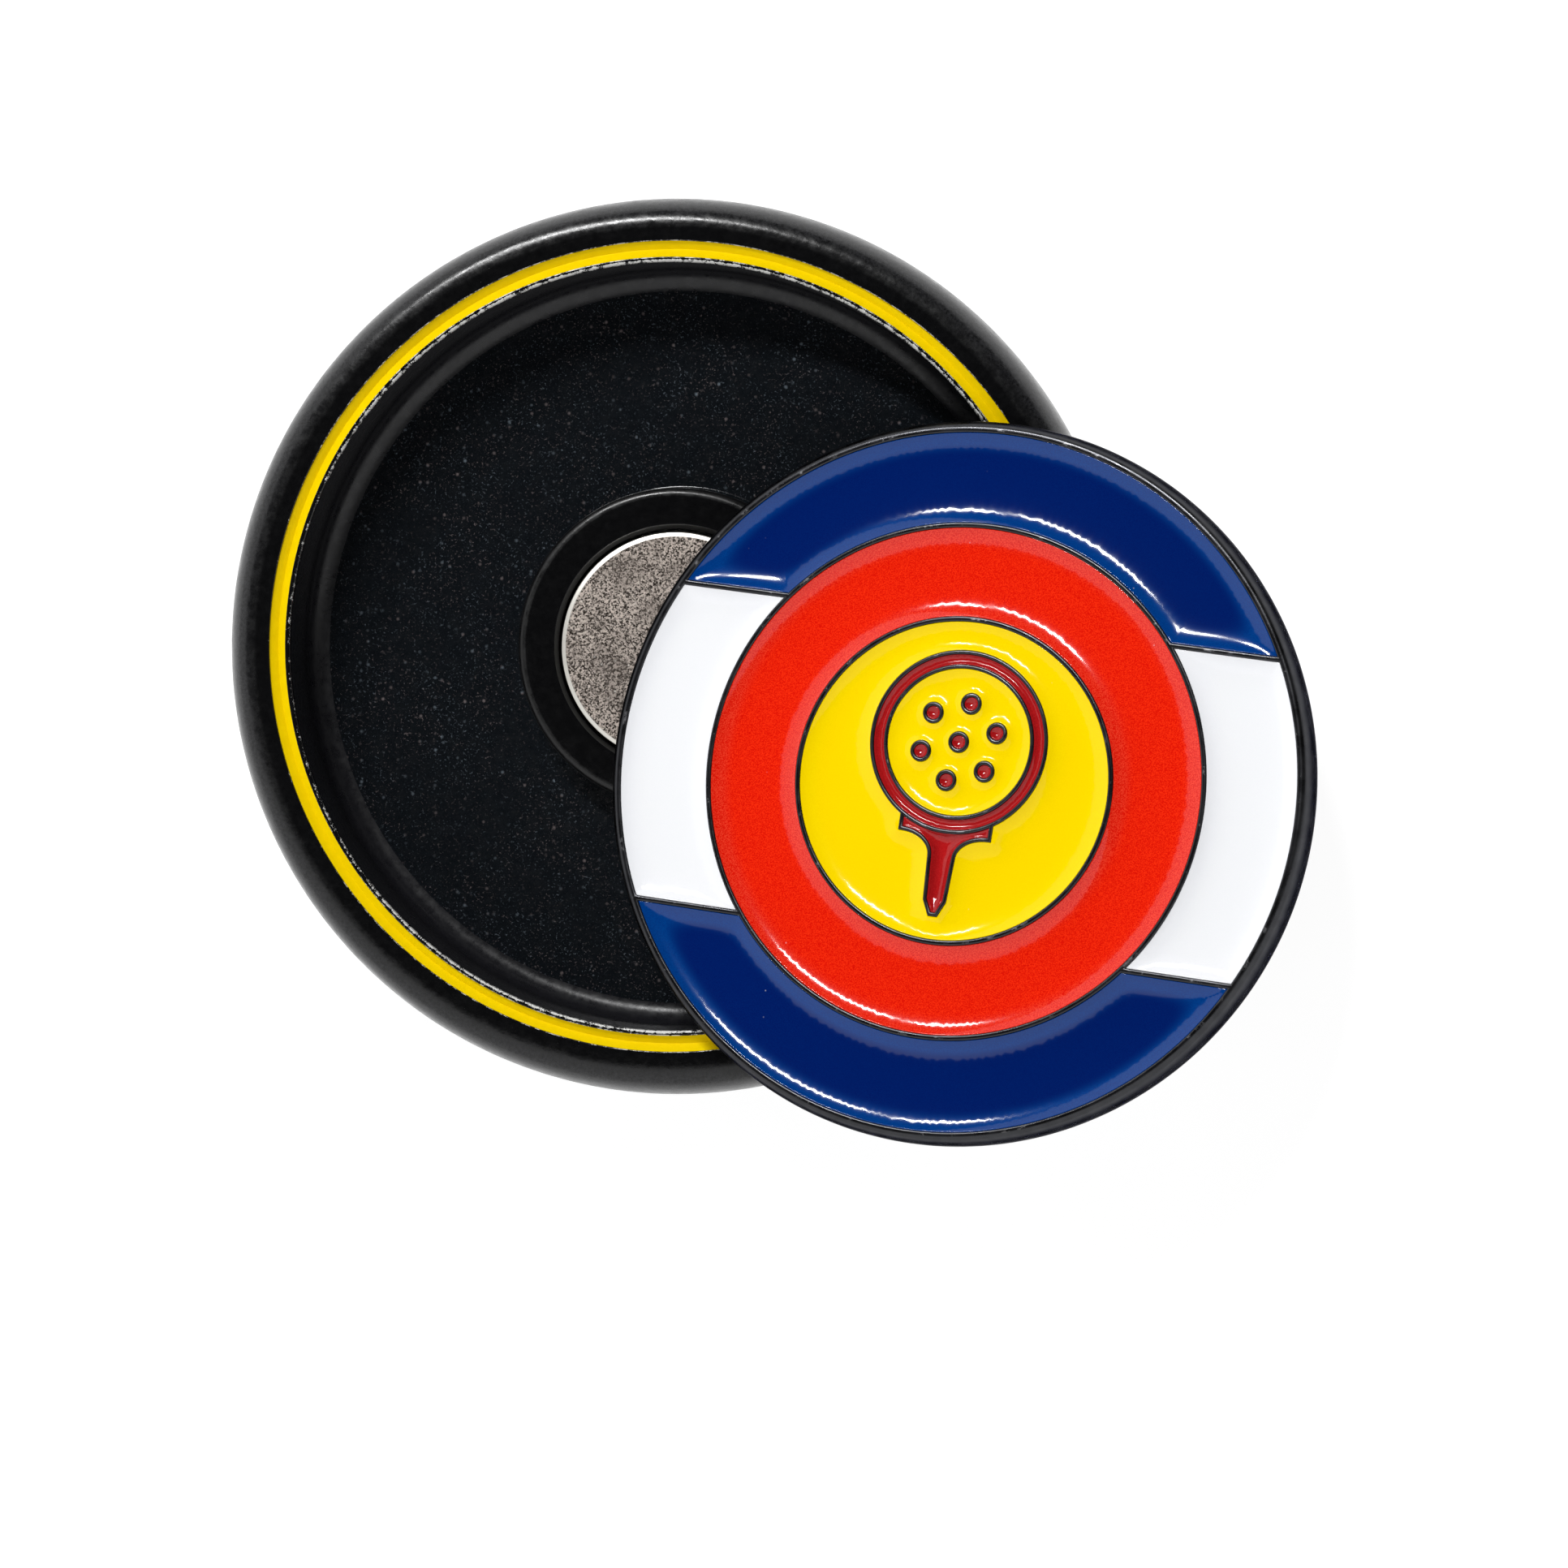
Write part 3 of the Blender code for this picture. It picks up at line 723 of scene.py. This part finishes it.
def close_below(shell, low):
    """Wall and flat underside below the free sides of a surface."""
    sides = {}
    for face in shell.faces:
        for start, end in zip(face, face[1:] + face[:1]):
            sides[(start, end)] = sides.get((start, end), 0) + 1
    after = {start: end for start, end in sides if (end, start) not in sides}
    below = {}
    for start in after:
        x, y, _ = shell.vertices[start]
        below[start] = len(shell.vertices)
        shell.vertices.append((x, y, low))
    for start, end in after.items():
        shell.faces.append([end, start, below[start], below[end]])
    loops = []
    left = set(after)
    while left:
        first = min(left)
        loop = [first]
        while after[loop[-1]] != first:
            loop.append(after[loop[-1]])
        left -= set(loop)
        loops.append(loop)
    corners = [number for loop in loops for number in loop]
    flats = [[Vector((*shell.vertices[number][:2], 0.0)) for number in loop] for loop in loops]
    for a, b, c in tessellate_polygon(flats):
        face = [below[corners[a]], below[corners[b]], below[corners[c]]]
        p, q, r = (Vector(shell.vertices[number]) for number in face)
        shell.faces.append(face if (q - p).cross(r - p).z < 0 else face[::-1])


# ---- materials

class Graph:
    """A node graph, built one node at a time."""

    def __init__(self, tree):
        self.tree = tree

    def add(self, kind, values=None, **settings):
        node = self.tree.nodes.new(kind)
        for key, value in settings.items():
            setattr(node, key, value)
        for socket, value in (values or {}).items():
            self.plug(node.inputs[socket], value)
        return node

    def plug(self, socket, value):
        """Link another node's output to a socket, or set the socket to a plain value."""
        if isinstance(value, bpy.types.NodeSocket):
            self.tree.links.new(value, socket)
        else:
            socket.default_value = value

    def math(self, operation, *values, clamp=False):
        settings = {"operation": operation, "use_clamp": clamp}
        return self.add("ShaderNodeMath", dict(enumerate(values)), **settings).outputs[0]

    def times(self, first, second):
        return self.math("MULTIPLY", first, second)

    def ramp(self, value, low, high, start=0.0, end=1.0):
        """Smooth step of the value from start at low to end at high."""
        values = {"Value": value, "From Min": low, "From Max": high, "To Min": start, "To Max": end}
        node = self.add("ShaderNodeMapRange", values, interpolation_type="SMOOTHSTEP")
        return node.outputs["Result"]


class Shade(Graph):
    """A material's graph. Its textures stay with the piece as it moves."""

    def __init__(self, name, roughness, metallic=0.0, **sockets):
        self.material = bpy.data.materials.new(name)
        self.material.use_nodes = True
        super().__init__(self.material.node_tree)
        self.shader = self.tree.nodes["Principled BSDF"]
        self.set("Roughness", roughness)
        self.set("Metallic", metallic)
        for socket, value in sockets.items():
            self.set(socket.replace("_", " "), value)
        self.place = self.add("ShaderNodeTexCoord").outputs["Object"]

    def set(self, socket, value):
        self.plug(self.shader.inputs[socket], value)

    def noise(self, size, detail=2.0, roughness=0.5):
        """Noise whose patches are about this many millimetres across."""
        values = {"Vector": self.place, "Scale": 1 / (size * MM)}
        values.update({"Detail": detail, "Roughness": roughness})
        return self.add("ShaderNodeTexNoise", values).outputs["Fac"]

    def mix(self, share, first, second):
        """Colour between two, as a share from 0 to 1."""
        node = self.add("ShaderNodeMix", {"Factor": share}, data_type="RGBA")
        for number, colour in ((6, first), (7, second)):
            colour = (*colour, 1.0) if isinstance(colour, tuple) else colour
            self.plug(node.inputs[number], colour)
        return node.outputs[2]

    def bump(self, height, depth):
        """Surface relief of the given depth in millimetres."""
        values = {"Height": height, "Distance": depth * MM, "Strength": 1.0}
        self.set("Normal", self.add("ShaderNodeBump", values).outputs["Normal"])

    def waves(self, size, depth, detail=2.0):
        """Relief of soft waves, with their width and depth in millimetres."""
        self.bump(self.noise(size, detail), depth)

    def radius_and_height(self):
        """Distance from the holder's axis and height over its base, in millimetres."""
        sideways = {0: self.place, 1: (1.0, 1.0, 0.0)}
        flat_place = self.add("ShaderNodeVectorMath", sideways, operation="MULTIPLY")
        length = self.add("ShaderNodeVectorMath", {0: flat_place.outputs[0]}, operation="LENGTH")
        split = self.add("ShaderNodeSeparateXYZ", {0: self.place})
        radius = self.math("DIVIDE", length.outputs["Value"], MM)
        return radius, self.math("DIVIDE", split.outputs["Z"], MM)

    def cells(self, size):
        """Distance to the nearest of many scattered points, and that point's random number."""
        place = {"Vector": self.place, "Scale": 1 / (size * MM)}
        outputs = self.add("ShaderNodeTexVoronoi", place).outputs
        number = self.add("ShaderNodeSeparateColor", {0: outputs["Color"]}).outputs[0]
        return outputs["Distance"], number

    def specks(self, spacing, rarity, size):
        """Round dots of uneven brightness, in some of the cells of a loose grid.

        The spacing is in millimetres, and a dot's size is a share of it. At a rarity of 0 every
        cell has a dot, and at 1 none has.
        """
        distance, chance = self.cells(spacing)
        dot = self.ramp(distance, 0.0, size, 1.0, 0.0)
        return self.times(dot, self.ramp(chance, rarity, 1.0))

    def band(self, value, middle, half, soft):
        """1 within half of the middle value, fading to 0 over the soft width."""
        off = self.math("ABSOLUTE", self.math("SUBTRACT", value, middle))
        return self.ramp(off, half, half + soft, 1.0, 0.0)


# The middle of a noise's values, where it changes most
MIDDLE = (0.3, 0.7)

# Paint, with sizes in millimetres and linear colours
PAINT = ((0.0014, 0.0014, 0.0016), (0.0038, 0.0039, 0.0044))
PAINT_UNDER_DUST = ((0.0022, 0.0032, 0.0044), (0.0062, 0.0080, 0.0104))
WALL_PAINT = (0.008, 0.008, 0.010)
FLECKS = ((0.15, 0.18, 0.21), (0.18, 0.15, 0.15))
OUTSIDE_DUST = (0.024, 0.024, 0.026)
BARE_METAL = (0.64, 0.64, 0.62)
MOTTLE_SIZE = 0.16
DUST_SIZE = 0.14
FINE_FLECK_SIZE = 0.12
FINE_FLECKS = (0.56, 0.74, 0.0, 0.60)           # range of the noise, and strength over it
COARSE_FLECKS = (0.34, 0.66, 0.34)              # spacing, rarity and size
COARSE_STRENGTH = 0.80
BRIGHT_FLECKS = (0.90, 0.80, 0.13)
FLECK_CLUSTER_SIZE = 2.4
FLECK_CLUSTERS = (0.36, 0.62, 0.35, 1.0)
FLECK_HUE_SIZE = 0.8
FLECK_HUES = (0.45, 0.55)
ORANGE_PEEL_SIZE = 0.30
ORANGE_PEEL_DEPTH = 0.008
WAVE_SIZE = 1.3                 # in the paint over the shoulder
WAVE_SHARE = 2.0                # of the orange peel's depth
WAVE_FADE = 0.4                 # they come in over this width outside the flat rim
STREAK_SIZE = 0.5
GLOSSY = (0.12, 0.20)           # roughness
SATIN = (0.24, 0.42)
SCUFFED = 0.45                  # roughness added where the paint is rubbed through
SHOULDER_DULLNESS = 0.55        # of the recess wall's
SHOULDER_FADE = 0.2
BOSS_EDGE_FADE = 0.10
OUTSIDE_FADE = (0.1, 0.9)       # the dust fades in this far outside the flat rim
FLOOR_TOP = (0.30, 0.32)        # the flecks end this far above the recess floor
FLOOR_FADE = 0.06               # and over this width outside it
WALL_FADE = 0.05
WALL_TOP = (0.3, 0.2)           # the wall's paint ends this far below the rim
WORN_PATCH_SIZE = 0.34
WORN_FROM = (0.2, 0.8)          # distances forwards or back, as shares of the lip's radius
WEAR_AND_HIGHLIGHT_BOOST = (-0.07, 0.04)       # added to the noise at those two distances: less bare metal at the sides and more at the front and back, a painted highlight
WORN_LIP = (0.74, 0.77)         # the paint goes over these values of the noise
WORN_GROOVE = (0.54, 0.58)
LIP_WEAR_SHARE = 0.25           # added to the noise in the lip's band
LIP_WEAR_HEIGHT = 0.16          # the wear starts this far below the rim
LIP_WEAR = (LIP_R + 0.06, 0.02, 0.14)           # middle radius, half width and fade of each band
GROOVE_WEAR = (
    (GROOVE_INNER_R - 0.02, 0.015, 0.02),
    (GROOVE_OUTER_R + 0.01, 0.01, 0.02),
)


def black_paint():
    """Gloss black paint: recess floor flecks, outside dust, and rubbed edges with a painted
    highlight.
    """
    shade = Shade("black_paint_look", GLOSSY[1])
    radius, height = shade.radius_and_height()
    worn_and_highlit = rubbed_edges_and_highlights(shade, radius, height)
    colour = paint_colour(shade, radius, height)
    # bare metal where rubbed, with extra at the front and back as a painted highlight
    shade.set("Base Color", shade.mix(worn_and_highlit, colour, BARE_METAL))
    shade.set("Metallic", worn_and_highlit)
    roughness = paint_roughness(shade, radius, height)
    scuffed = shade.times(worn_and_highlit, SCUFFED)
    shade.set("Roughness", shade.math("ADD", roughness, scuffed))
    outside = shade.ramp(radius, SHOULDER_R, SHOULDER_R + WAVE_FADE)
    waves = shade.times(shade.times(shade.noise(WAVE_SIZE), outside), WAVE_SHARE)
    orange_peel = shade.noise(ORANGE_PEEL_SIZE, detail=3.0)
    shade.bump(shade.math("ADD", orange_peel, waves), ORANGE_PEEL_DEPTH)
    return shade.material


def recess_wall(shade, radius, height):
    """1 on the recess's upright wall and the curve below it, below the rim's lip."""
    ring = shade.band(radius, (FLOOR_R + LIP_R) / 2, (LIP_R - FLOOR_R) / 2, WALL_FADE)
    below_lip = shade.ramp(height, RIM_Z - WALL_TOP[0], RIM_Z - WALL_TOP[1], 1.0, 0.0)
    return shade.times(ring, below_lip)


def paint_colour(shade, radius, height):
    """Black, with flecks on the recess floor, a plain wall round it and dust on the outside."""
    low = shade.ramp(height, FLOOR_Z + FLOOR_TOP[0], FLOOR_Z + FLOOR_TOP[1], 1.0, 0.0)
    inner = shade.ramp(radius, FLOOR_R, FLOOR_R + FLOOR_FADE, 1.0, 0.0)
    on_floor = shade.times(low, inner)
    fine = shade.noise(FINE_FLECK_SIZE, detail=3.0, roughness=0.7)
    fine = shade.ramp(fine, *FINE_FLECKS)
    coarse = shade.times(shade.specks(*COARSE_FLECKS), COARSE_STRENGTH)
    clusters = shade.ramp(shade.noise(FLECK_CLUSTER_SIZE, detail=3.0), *FLECK_CLUSTERS)
    flecks = shade.times(shade.math("ADD", fine, coarse), clusters)
    flecks = shade.math("ADD", flecks, shade.specks(*BRIGHT_FLECKS), clamp=True)
    hue = shade.ramp(shade.noise(FLECK_HUE_SIZE), *FLECK_HUES)
    tint = shade.mix(hue, *FLECKS)
    mottle = shade.noise(MOTTLE_SIZE, detail=4.0)
    plain = shade.mix(mottle, *PAINT)
    dusty = shade.mix(mottle, *PAINT_UNDER_DUST)
    base = shade.mix(on_floor, plain, shade.mix(flecks, dusty, tint))
    base = shade.mix(recess_wall(shade, radius, height), base, WALL_PAINT)
    outside = shade.ramp(radius, SHOULDER_R + OUTSIDE_FADE[0], SHOULDER_R + OUTSIDE_FADE[1])
    grains = shade.ramp(shade.noise(DUST_SIZE, detail=4.0, roughness=0.7), *MIDDLE)
    return shade.mix(shade.times(outside, grains), base, OUTSIDE_DUST)


def rubbed_edges_and_highlights(shade, radius, height):
    """1 where paint is rubbed to the metal, more so at front and back: wear plus painted highlight.
    """
    patches = shade.noise(WORN_PATCH_SIZE, detail=6.0, roughness=0.85)
    forward = shade.add("ShaderNodeSeparateXYZ", {0: shade.place}).outputs["Y"]
    forward = shade.math("ABSOLUTE", forward)
    near, far = (share * LIP_R * MM for share in WORN_FROM)
    # the boost towards the front and back is a painted highlight on top of the wear
    chance = shade.math("ADD", patches, shade.ramp(forward, near, far, *WEAR_AND_HIGHLIGHT_BOOST))
    on_lip = shade.times(shade.band(radius, *LIP_WEAR), LIP_WEAR_SHARE)
    lip = shade.ramp(shade.math("ADD", on_lip, chance), *WORN_LIP)
    groove_in, groove_out = (shade.band(radius, *place) for place in GROOVE_WEAR)
    glints = shade.ramp(chance, *WORN_GROOVE)
    groove = shade.times(shade.math("MAXIMUM", groove_in, groove_out), glints)
    near_rim = shade.ramp(height, RIM_Z - LIP_WEAR_HEIGHT, RIM_Z - LIP_WEAR_HEIGHT / 2)
    return shade.times(shade.math("MAXIMUM", lip, groove), near_rim)


def paint_roughness(shade, radius, height):
    """Glossy paint that is duller on the recess wall, the boss's edge and the shoulder."""
    streaks = shade.noise(STREAK_SIZE, detail=5.0, roughness=0.7)
    gloss = shade.ramp(streaks, *MIDDLE, *GLOSSY)
    satin = shade.ramp(streaks, *MIDDLE, *SATIN)
    above_floor = shade.ramp(height, FLOOR_Z + BOSS_FILLET, FLOOR_Z + 2 * BOSS_FILLET)
    boss_edge = shade.times(shade.band(radius, BOSS_R, BOSS_ROUND, BOSS_EDGE_FADE), above_floor)
    shoulder_end = SHOULDER_R + SHOULDER_FADE
    shoulder = shade.ramp(radius, SHOULDER_R, shoulder_end, 0.0, SHOULDER_DULLNESS)
    dull = shade.math("MAXIMUM", recess_wall(shade, radius, height), shoulder)
    dull = shade.math("MAXIMUM", dull, boss_edge)
    spread = shade.math("SUBTRACT", satin, gloss)
    return shade.math("ADD", gloss, shade.times(dull, spread))


# The yellow line and the magnet's glue: colours, sizes of mottle and waves, and relief
YELLOW = ((0.87, 0.61, 0.0), (0.95, 0.71, 0.001))
YELLOW_ROUGHNESS = 0.34
YELLOW_GLOSS = 0.05
YELLOW_MOTTLE = 0.35
YELLOW_WAVES = (0.4, 0.006)
GLUE = ((0.42, 0.38, 0.28), (0.62, 0.58, 0.46))
GLUE_ROUGHNESS = 0.35
GLUE_SWIRL = (0.8, 0.02)


def yellow_enamel():
    shade = Shade("yellow_enamel_look", YELLOW_ROUGHNESS, Specular_IOR_Level=YELLOW_GLOSS)
    mottle = shade.noise(YELLOW_MOTTLE, detail=3.0)
    shade.set("Base Color", shade.mix(mottle, *YELLOW))
    shade.waves(*YELLOW_WAVES)
    return shade.material


# Magnet
NICKEL_GRAINS = ((0.030, 0.024, 0.020), (0.64, 0.56, 0.50))
NICKEL_STAIN = (0.125, 0.105, 0.092)
NICKEL_SPARKLE = (0.85, 0.80, 0.74)
NICKEL_EDGE = (0.98, 0.95, 0.88)
GRAIN_SIZE = 0.065
CLUMP_SIZE = 0.12
CLUMP_SHARE = 0.6               # of the grain's pattern, over the single grains
GRAIN_RANGE = (0.32, 0.68)
STAIN_SIZE = 1.6
STAINS = (0.40, 0.65, 0.0, 0.45)                # range of the noise, and strength over it
SPARKLES = (0.30, 0.72, 0.26)   # spacing, rarity and size
BEVEL_FADE = 0.03
GRAIN_DEPTH = 0.03
FACE_ROUGHNESS = 0.52
EDGE_ROUGHNESS = 0.38


def nickel():
    """Sintered magnet under nickel plate: a granular face and a smooth rounded edge."""
    shade = Shade("nickel_look", FACE_ROUGHNESS, metallic=1.0)
    radius, _ = shade.radius_and_height()
    edge_r = MAGNET_R - MAGNET_BEVEL
    on_edge = shade.ramp(radius, edge_r - BEVEL_FADE, edge_r + BEVEL_FADE)
    _, grain = shade.cells(GRAIN_SIZE)
    clumps = shade.noise(CLUMP_SIZE, detail=4.0, roughness=0.7)
    grain = shade.mix(CLUMP_SHARE, grain, clumps)
    face = shade.mix(shade.ramp(grain, *GRAIN_RANGE), *NICKEL_GRAINS)
    stain = shade.ramp(shade.noise(STAIN_SIZE, detail=3.0), *STAINS)
    face = shade.mix(stain, face, NICKEL_STAIN)
    face = shade.mix(shade.specks(*SPARKLES), face, NICKEL_SPARKLE)
    shade.set("Base Color", shade.mix(on_edge, face, NICKEL_EDGE))
    shade.set("Roughness", shade.ramp(on_edge, 0.0, 1.0, FACE_ROUGHNESS, EDGE_ROUGHNESS))
    relief = shade.times(grain, shade.math("SUBTRACT", 1.0, on_edge))
    shade.bump(relief, GRAIN_DEPTH)
    return shade.material


def clear_glue():
    shade = Shade("clear_glue_look", GLUE_ROUGHNESS)
    size, depth = GLUE_SWIRL
    swirl = shade.noise(size, detail=3.0)
    shade.set("Base Color", shade.mix(swirl, *GLUE))
    shade.bump(swirl, depth)
    return shade.material


# Coin's plating
PLATE_SIDES = ((0.045, 0.046, 0.050), (0.085, 0.086, 0.092))
# The lines' flat tops get a darker plate colour than the sides: painted shade
SHADED_PLATE_TOPS = ((0.018, 0.018, 0.020), (0.036, 0.036, 0.040))
PLATE_RUBBED = (0.42, 0.42, 0.44)
PLATE_TINT = (0.22, 0.22, 0.24, 1.0)
PLATE_ROUGHNESS = (0.24, 0.36)
PLATE_CLOUD_SIZE = 0.6
PLATE_RUB_SIZE = 0.7
PLATE_RUBS = (0.58, 0.66, 0.0, 0.6)
PLATE_POLISH_SIZE = 0.9
PLATE_BLAST = (0.12, 0.003)     # size and depth of the texture


def black_plate():
    """Black nickel plate, finely blasted: tops darker as painted shade, and paler where rubbed."""
    shade = Shade("black_plate_look", PLATE_ROUGHNESS[0], metallic=1.0, Specular_Tint=PLATE_TINT)
    cloud = shade.noise(PLATE_CLOUD_SIZE, detail=4.0)
    side = shade.mix(cloud, *PLATE_SIDES)
    # painted shade: the flat tops darker than the same plate on the sides
    top = shade.mix(cloud, *SHADED_PLATE_TOPS)
    rubbed = shade.ramp(shade.noise(PLATE_RUB_SIZE, detail=5.0, roughness=0.7), *PLATE_RUBS)
    top = shade.mix(rubbed, top, PLATE_RUBBED)
    on_top = shade.add("ShaderNodeAttribute", attribute_name="top").outputs["Fac"]
    shade.set("Base Color", shade.mix(on_top, side, top))
    polish = shade.noise(PLATE_POLISH_SIZE, detail=3.0)
    shade.set("Roughness", shade.ramp(polish, *MIDDLE, *PLATE_ROUGHNESS))
    shade.waves(*PLATE_BLAST, detail=3.0)
    return shade.material


# Coin's enamels by slot: colour of the deep middle, of the thin edge and of the pigment's
# grain, strength of the grain, and strength of the reflections
ENAMELS = {
    "blue_enamel": ((0.0, 0.010, 0.115), (0.0, 0.046, 0.235), (0.0, 0.018, 0.150), 0.4, 0.5),
    "white_enamel": ((0.92, 0.93, 0.95), (0.92, 0.93, 0.96), (0.90, 0.91, 0.94), 0.5, 0.5),
    "red_enamel": ((0.93, 0.026, 0.004), (0.88, 0.045, 0.018), (0.72, 0.006, 0.001), 1.0, 0.5),
    "gold_enamel": ((0.98, 0.70, 0.0), (0.98, 0.72, 0.0), (0.95, 0.66, 0.0), 0.5, 0.22),
    "emblem_red": ((0.45, 0.008, 0.010), (0.36, 0.006, 0.008), (0.60, 0.02, 0.02), 0.4, 0.5),
}
ENAMEL_DUST = (0.80, 0.85, 0.90)
ENAMEL_ROUGHNESS = 0.10
EDGE_CLIMB = (0.14, 0.42)       # the thin edge's colour comes in over this part of the climb
PIGMENT_SIZE = 0.055
PIGMENT_RANGE = (0.38, 0.62)
ENAMEL_SPECKS = (0.9, 0.70, 0.06)
ENAMEL_SPECK_STRENGTH = 0.35
ENAMEL_WAVES = (1.2, 0.002)     # size and depth


def enamel(slot):
    """Baked enamel: glossy, lighter where it thins at the metal, with a fine grain of pigment."""
    deep, edge, grain_colour, grain_share, gloss = ENAMELS[slot]
    shade = Shade(f"{slot}_look", ENAMEL_ROUGHNESS, Specular_IOR_Level=gloss)
    climb = shade.add("ShaderNodeAttribute", attribute_name="climb").outputs["Fac"]
    colour = shade.mix(shade.ramp(climb, *EDGE_CLIMB), deep, edge)
    grain = shade.noise(PIGMENT_SIZE, roughness=0.6)
    grain = shade.ramp(grain, *PIGMENT_RANGE, 0.0, grain_share)
    colour = shade.mix(grain, colour, grain_colour)
    dust = shade.times(shade.specks(*ENAMEL_SPECKS), ENAMEL_SPECK_STRENGTH)
    shade.set("Base Color", shade.mix(dust, colour, ENAMEL_DUST))
    shade.waves(*ENAMEL_WAVES, detail=1.0)
    return shade.material


def white_floor():
    shade = Shade("studio_floor", FLOOR_ROUGHNESS, Specular_IOR_Level=0.0)
    shade.set("Base Color", shade.mix(shade.noise(FLOOR_CLOUD_SIZE), *FLOOR_GREYS))
    shade.set("Emission Color", (1.0, 1.0, 1.0, 1.0))
    shade.set("Emission Strength", FLOOR_GLOW)
    return shade.material


# ---- studio

FLOOR_HALF = 1500.0
FLOOR_GAP = 0.02                # keeps the floor off the underside, which would share its plane
FLOOR_GLOW = 0.85
FLOOR_ROUGHNESS = 0.9
FLOOR_CLOUD_SIZE = 6.0
FLOOR_GREYS = ((0.38, 0.38, 0.38), (0.40, 0.40, 0.40))
BOARD_LIGHT = 0.80              # brightness of the white boards round the object
DARK_LIGHT = 0.012              # and of the dark ceiling between them
FRONT_BOARD = radians(9.0)      # the front board begins this far from straight up
LEFT_BOARD = radians(47.0)
HORIZON = radians(17.0)         # everything below this elevation is white
BOARD_SOFT = 0.012
LAMP_BRIGHTNESS = 94.0
LAMP_HEIGHT = 450.0
# Each lamp: sideways and forward slope of the line to its middle, its length, width and turn
LAMPS = (
    ("long_lamp", -0.236, 0.713, 176.0, 37.0, radians(-44)),
    ("short_lamp", -0.594, 0.874, 88.0, 37.0, radians(2)),
)

CAMERA_DISTANCE = 250.0
CAMERA_SLOPES = (tan(radians(6.31)), tan(radians(-0.33)))       # where the camera stands
VIEW_SLOPES = (tan(radians(5.15)), tan(radians(1.07)))          # where it points
LENS = 129.5
SENSOR = 36.0


def floor():
    mesh = bpy.data.meshes.new("studio_floor")
    half = FLOOR_HALF * MM
    z = cad_box[0].z - FLOOR_GAP * MM
    corners = [(-half, -half, z), (half, -half, z), (half, half, z), (-half, half, z)]
    mesh.from_pydata(corners, [], [(0, 1, 2, 3)])
    mesh.materials.append(white_floor())
    plane = add_object("studio_floor", mesh)


def surroundings():
    """White boards in front, on the left and along the horizon, under a dark ceiling."""
    world = bpy.data.worlds.new("studio")
    bpy.context.scene.world = world
    world.use_nodes = True
    graph = Graph(world.node_tree)
    direction = graph.add("ShaderNodeTexCoord").outputs["Generated"]
    sides = []
    for across, offset in (
        ((0.0, -1.0, -tan(FRONT_BOARD)), 0.0),
        ((-1.0, 0.0, -tan(LEFT_BOARD)), 0.0),
        ((0.0, 0.0, -1.0), sin(HORIZON)),
    ):
        dot = graph.add("ShaderNodeVectorMath", {0: direction, 1: across}, operation="DOT_PRODUCT")
        sides.append(graph.math("ADD", dot.outputs["Value"], offset))
    widest = sides[0]
    for side in sides[1:]:
        widest = graph.math("MAXIMUM", widest, side)
    background = graph.tree.nodes["Background"].inputs
    graph.plug(background["Color"], (1.0, 1.0, 1.0, 1.0))
    light = graph.ramp(widest, 0.0, BOARD_SOFT, DARK_LIGHT, BOARD_LIGHT)
    graph.plug(background["Strength"], light)


def lamps():
    for name, sideways, forward, length, width, turn in LAMPS:
        data = bpy.data.lights.new(name, "AREA")
        data.shape = "RECTANGLE"
        data.size = length * MM
        data.size_y = width * MM
        data.energy = LAMP_BRIGHTNESS * pi * data.size * data.size_y
        lamp = add_object(name, data)
        line = Vector((sideways, forward, 1.0))
        aim = line.to_track_quat("Z", "Y").to_matrix().to_4x4()
        stand = Matrix.Translation(line * LAMP_HEIGHT * MM)
        lamp.matrix_world = stand @ Matrix.Rotation(turn, 4, "Z") @ aim


def camera():
    data = bpy.data.cameras.new("camera")
    data.lens = LENS
    data.sensor_width = SENSOR
    data.clip_start = 0.01
    data.clip_end = 10.0
    eye = add_object("camera", data)
    stand = Vector((*CAMERA_SLOPES, 1.0)).normalized() * CAMERA_DISTANCE + Vector((0.0, 0.0, RIM_Z))
    back = Vector((*VIEW_SLOPES, 1.0)).normalized()
    right = Vector((0.0, 1.0, 0.0)).cross(back).normalized()
    turn = Matrix((right, back.cross(right), back)).transposed().to_4x4()
    eye.matrix_world = Matrix.Translation(stand * MM) @ turn
    bpy.context.scene.camera = eye


# ---- the whole scene

def build():
    holder_tray(black_paint())
    yellow_line(yellow_enamel())
    magnet(nickel())
    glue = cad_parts["magnet_glue"]
    glue.data.materials.clear()
    glue.data.materials.append(clear_glue())

    place = coin_place()
    coin_blank(black_plate(), place)
    enamels = {slot: enamel(slot) for slot in ENAMELS}
    for name in coin_cells(0.0):
        in_emblem = name.startswith("red") and name != "red_enamel_ring"
        slot = "emblem_red" if in_emblem else "_".join(name.split("_")[:2])
        flow = (EMBLEM_MENISCUS, EMBLEM_SMOOTHINGS) if in_emblem else (MENISCUS, SMOOTHINGS)
        enamel_pool(name, enamels[slot], slot, place, *flow)

    floor()
    surroundings()
    lamps()
    camera()
    bpy.context.scene.view_settings.view_transform = "Standard"


build()
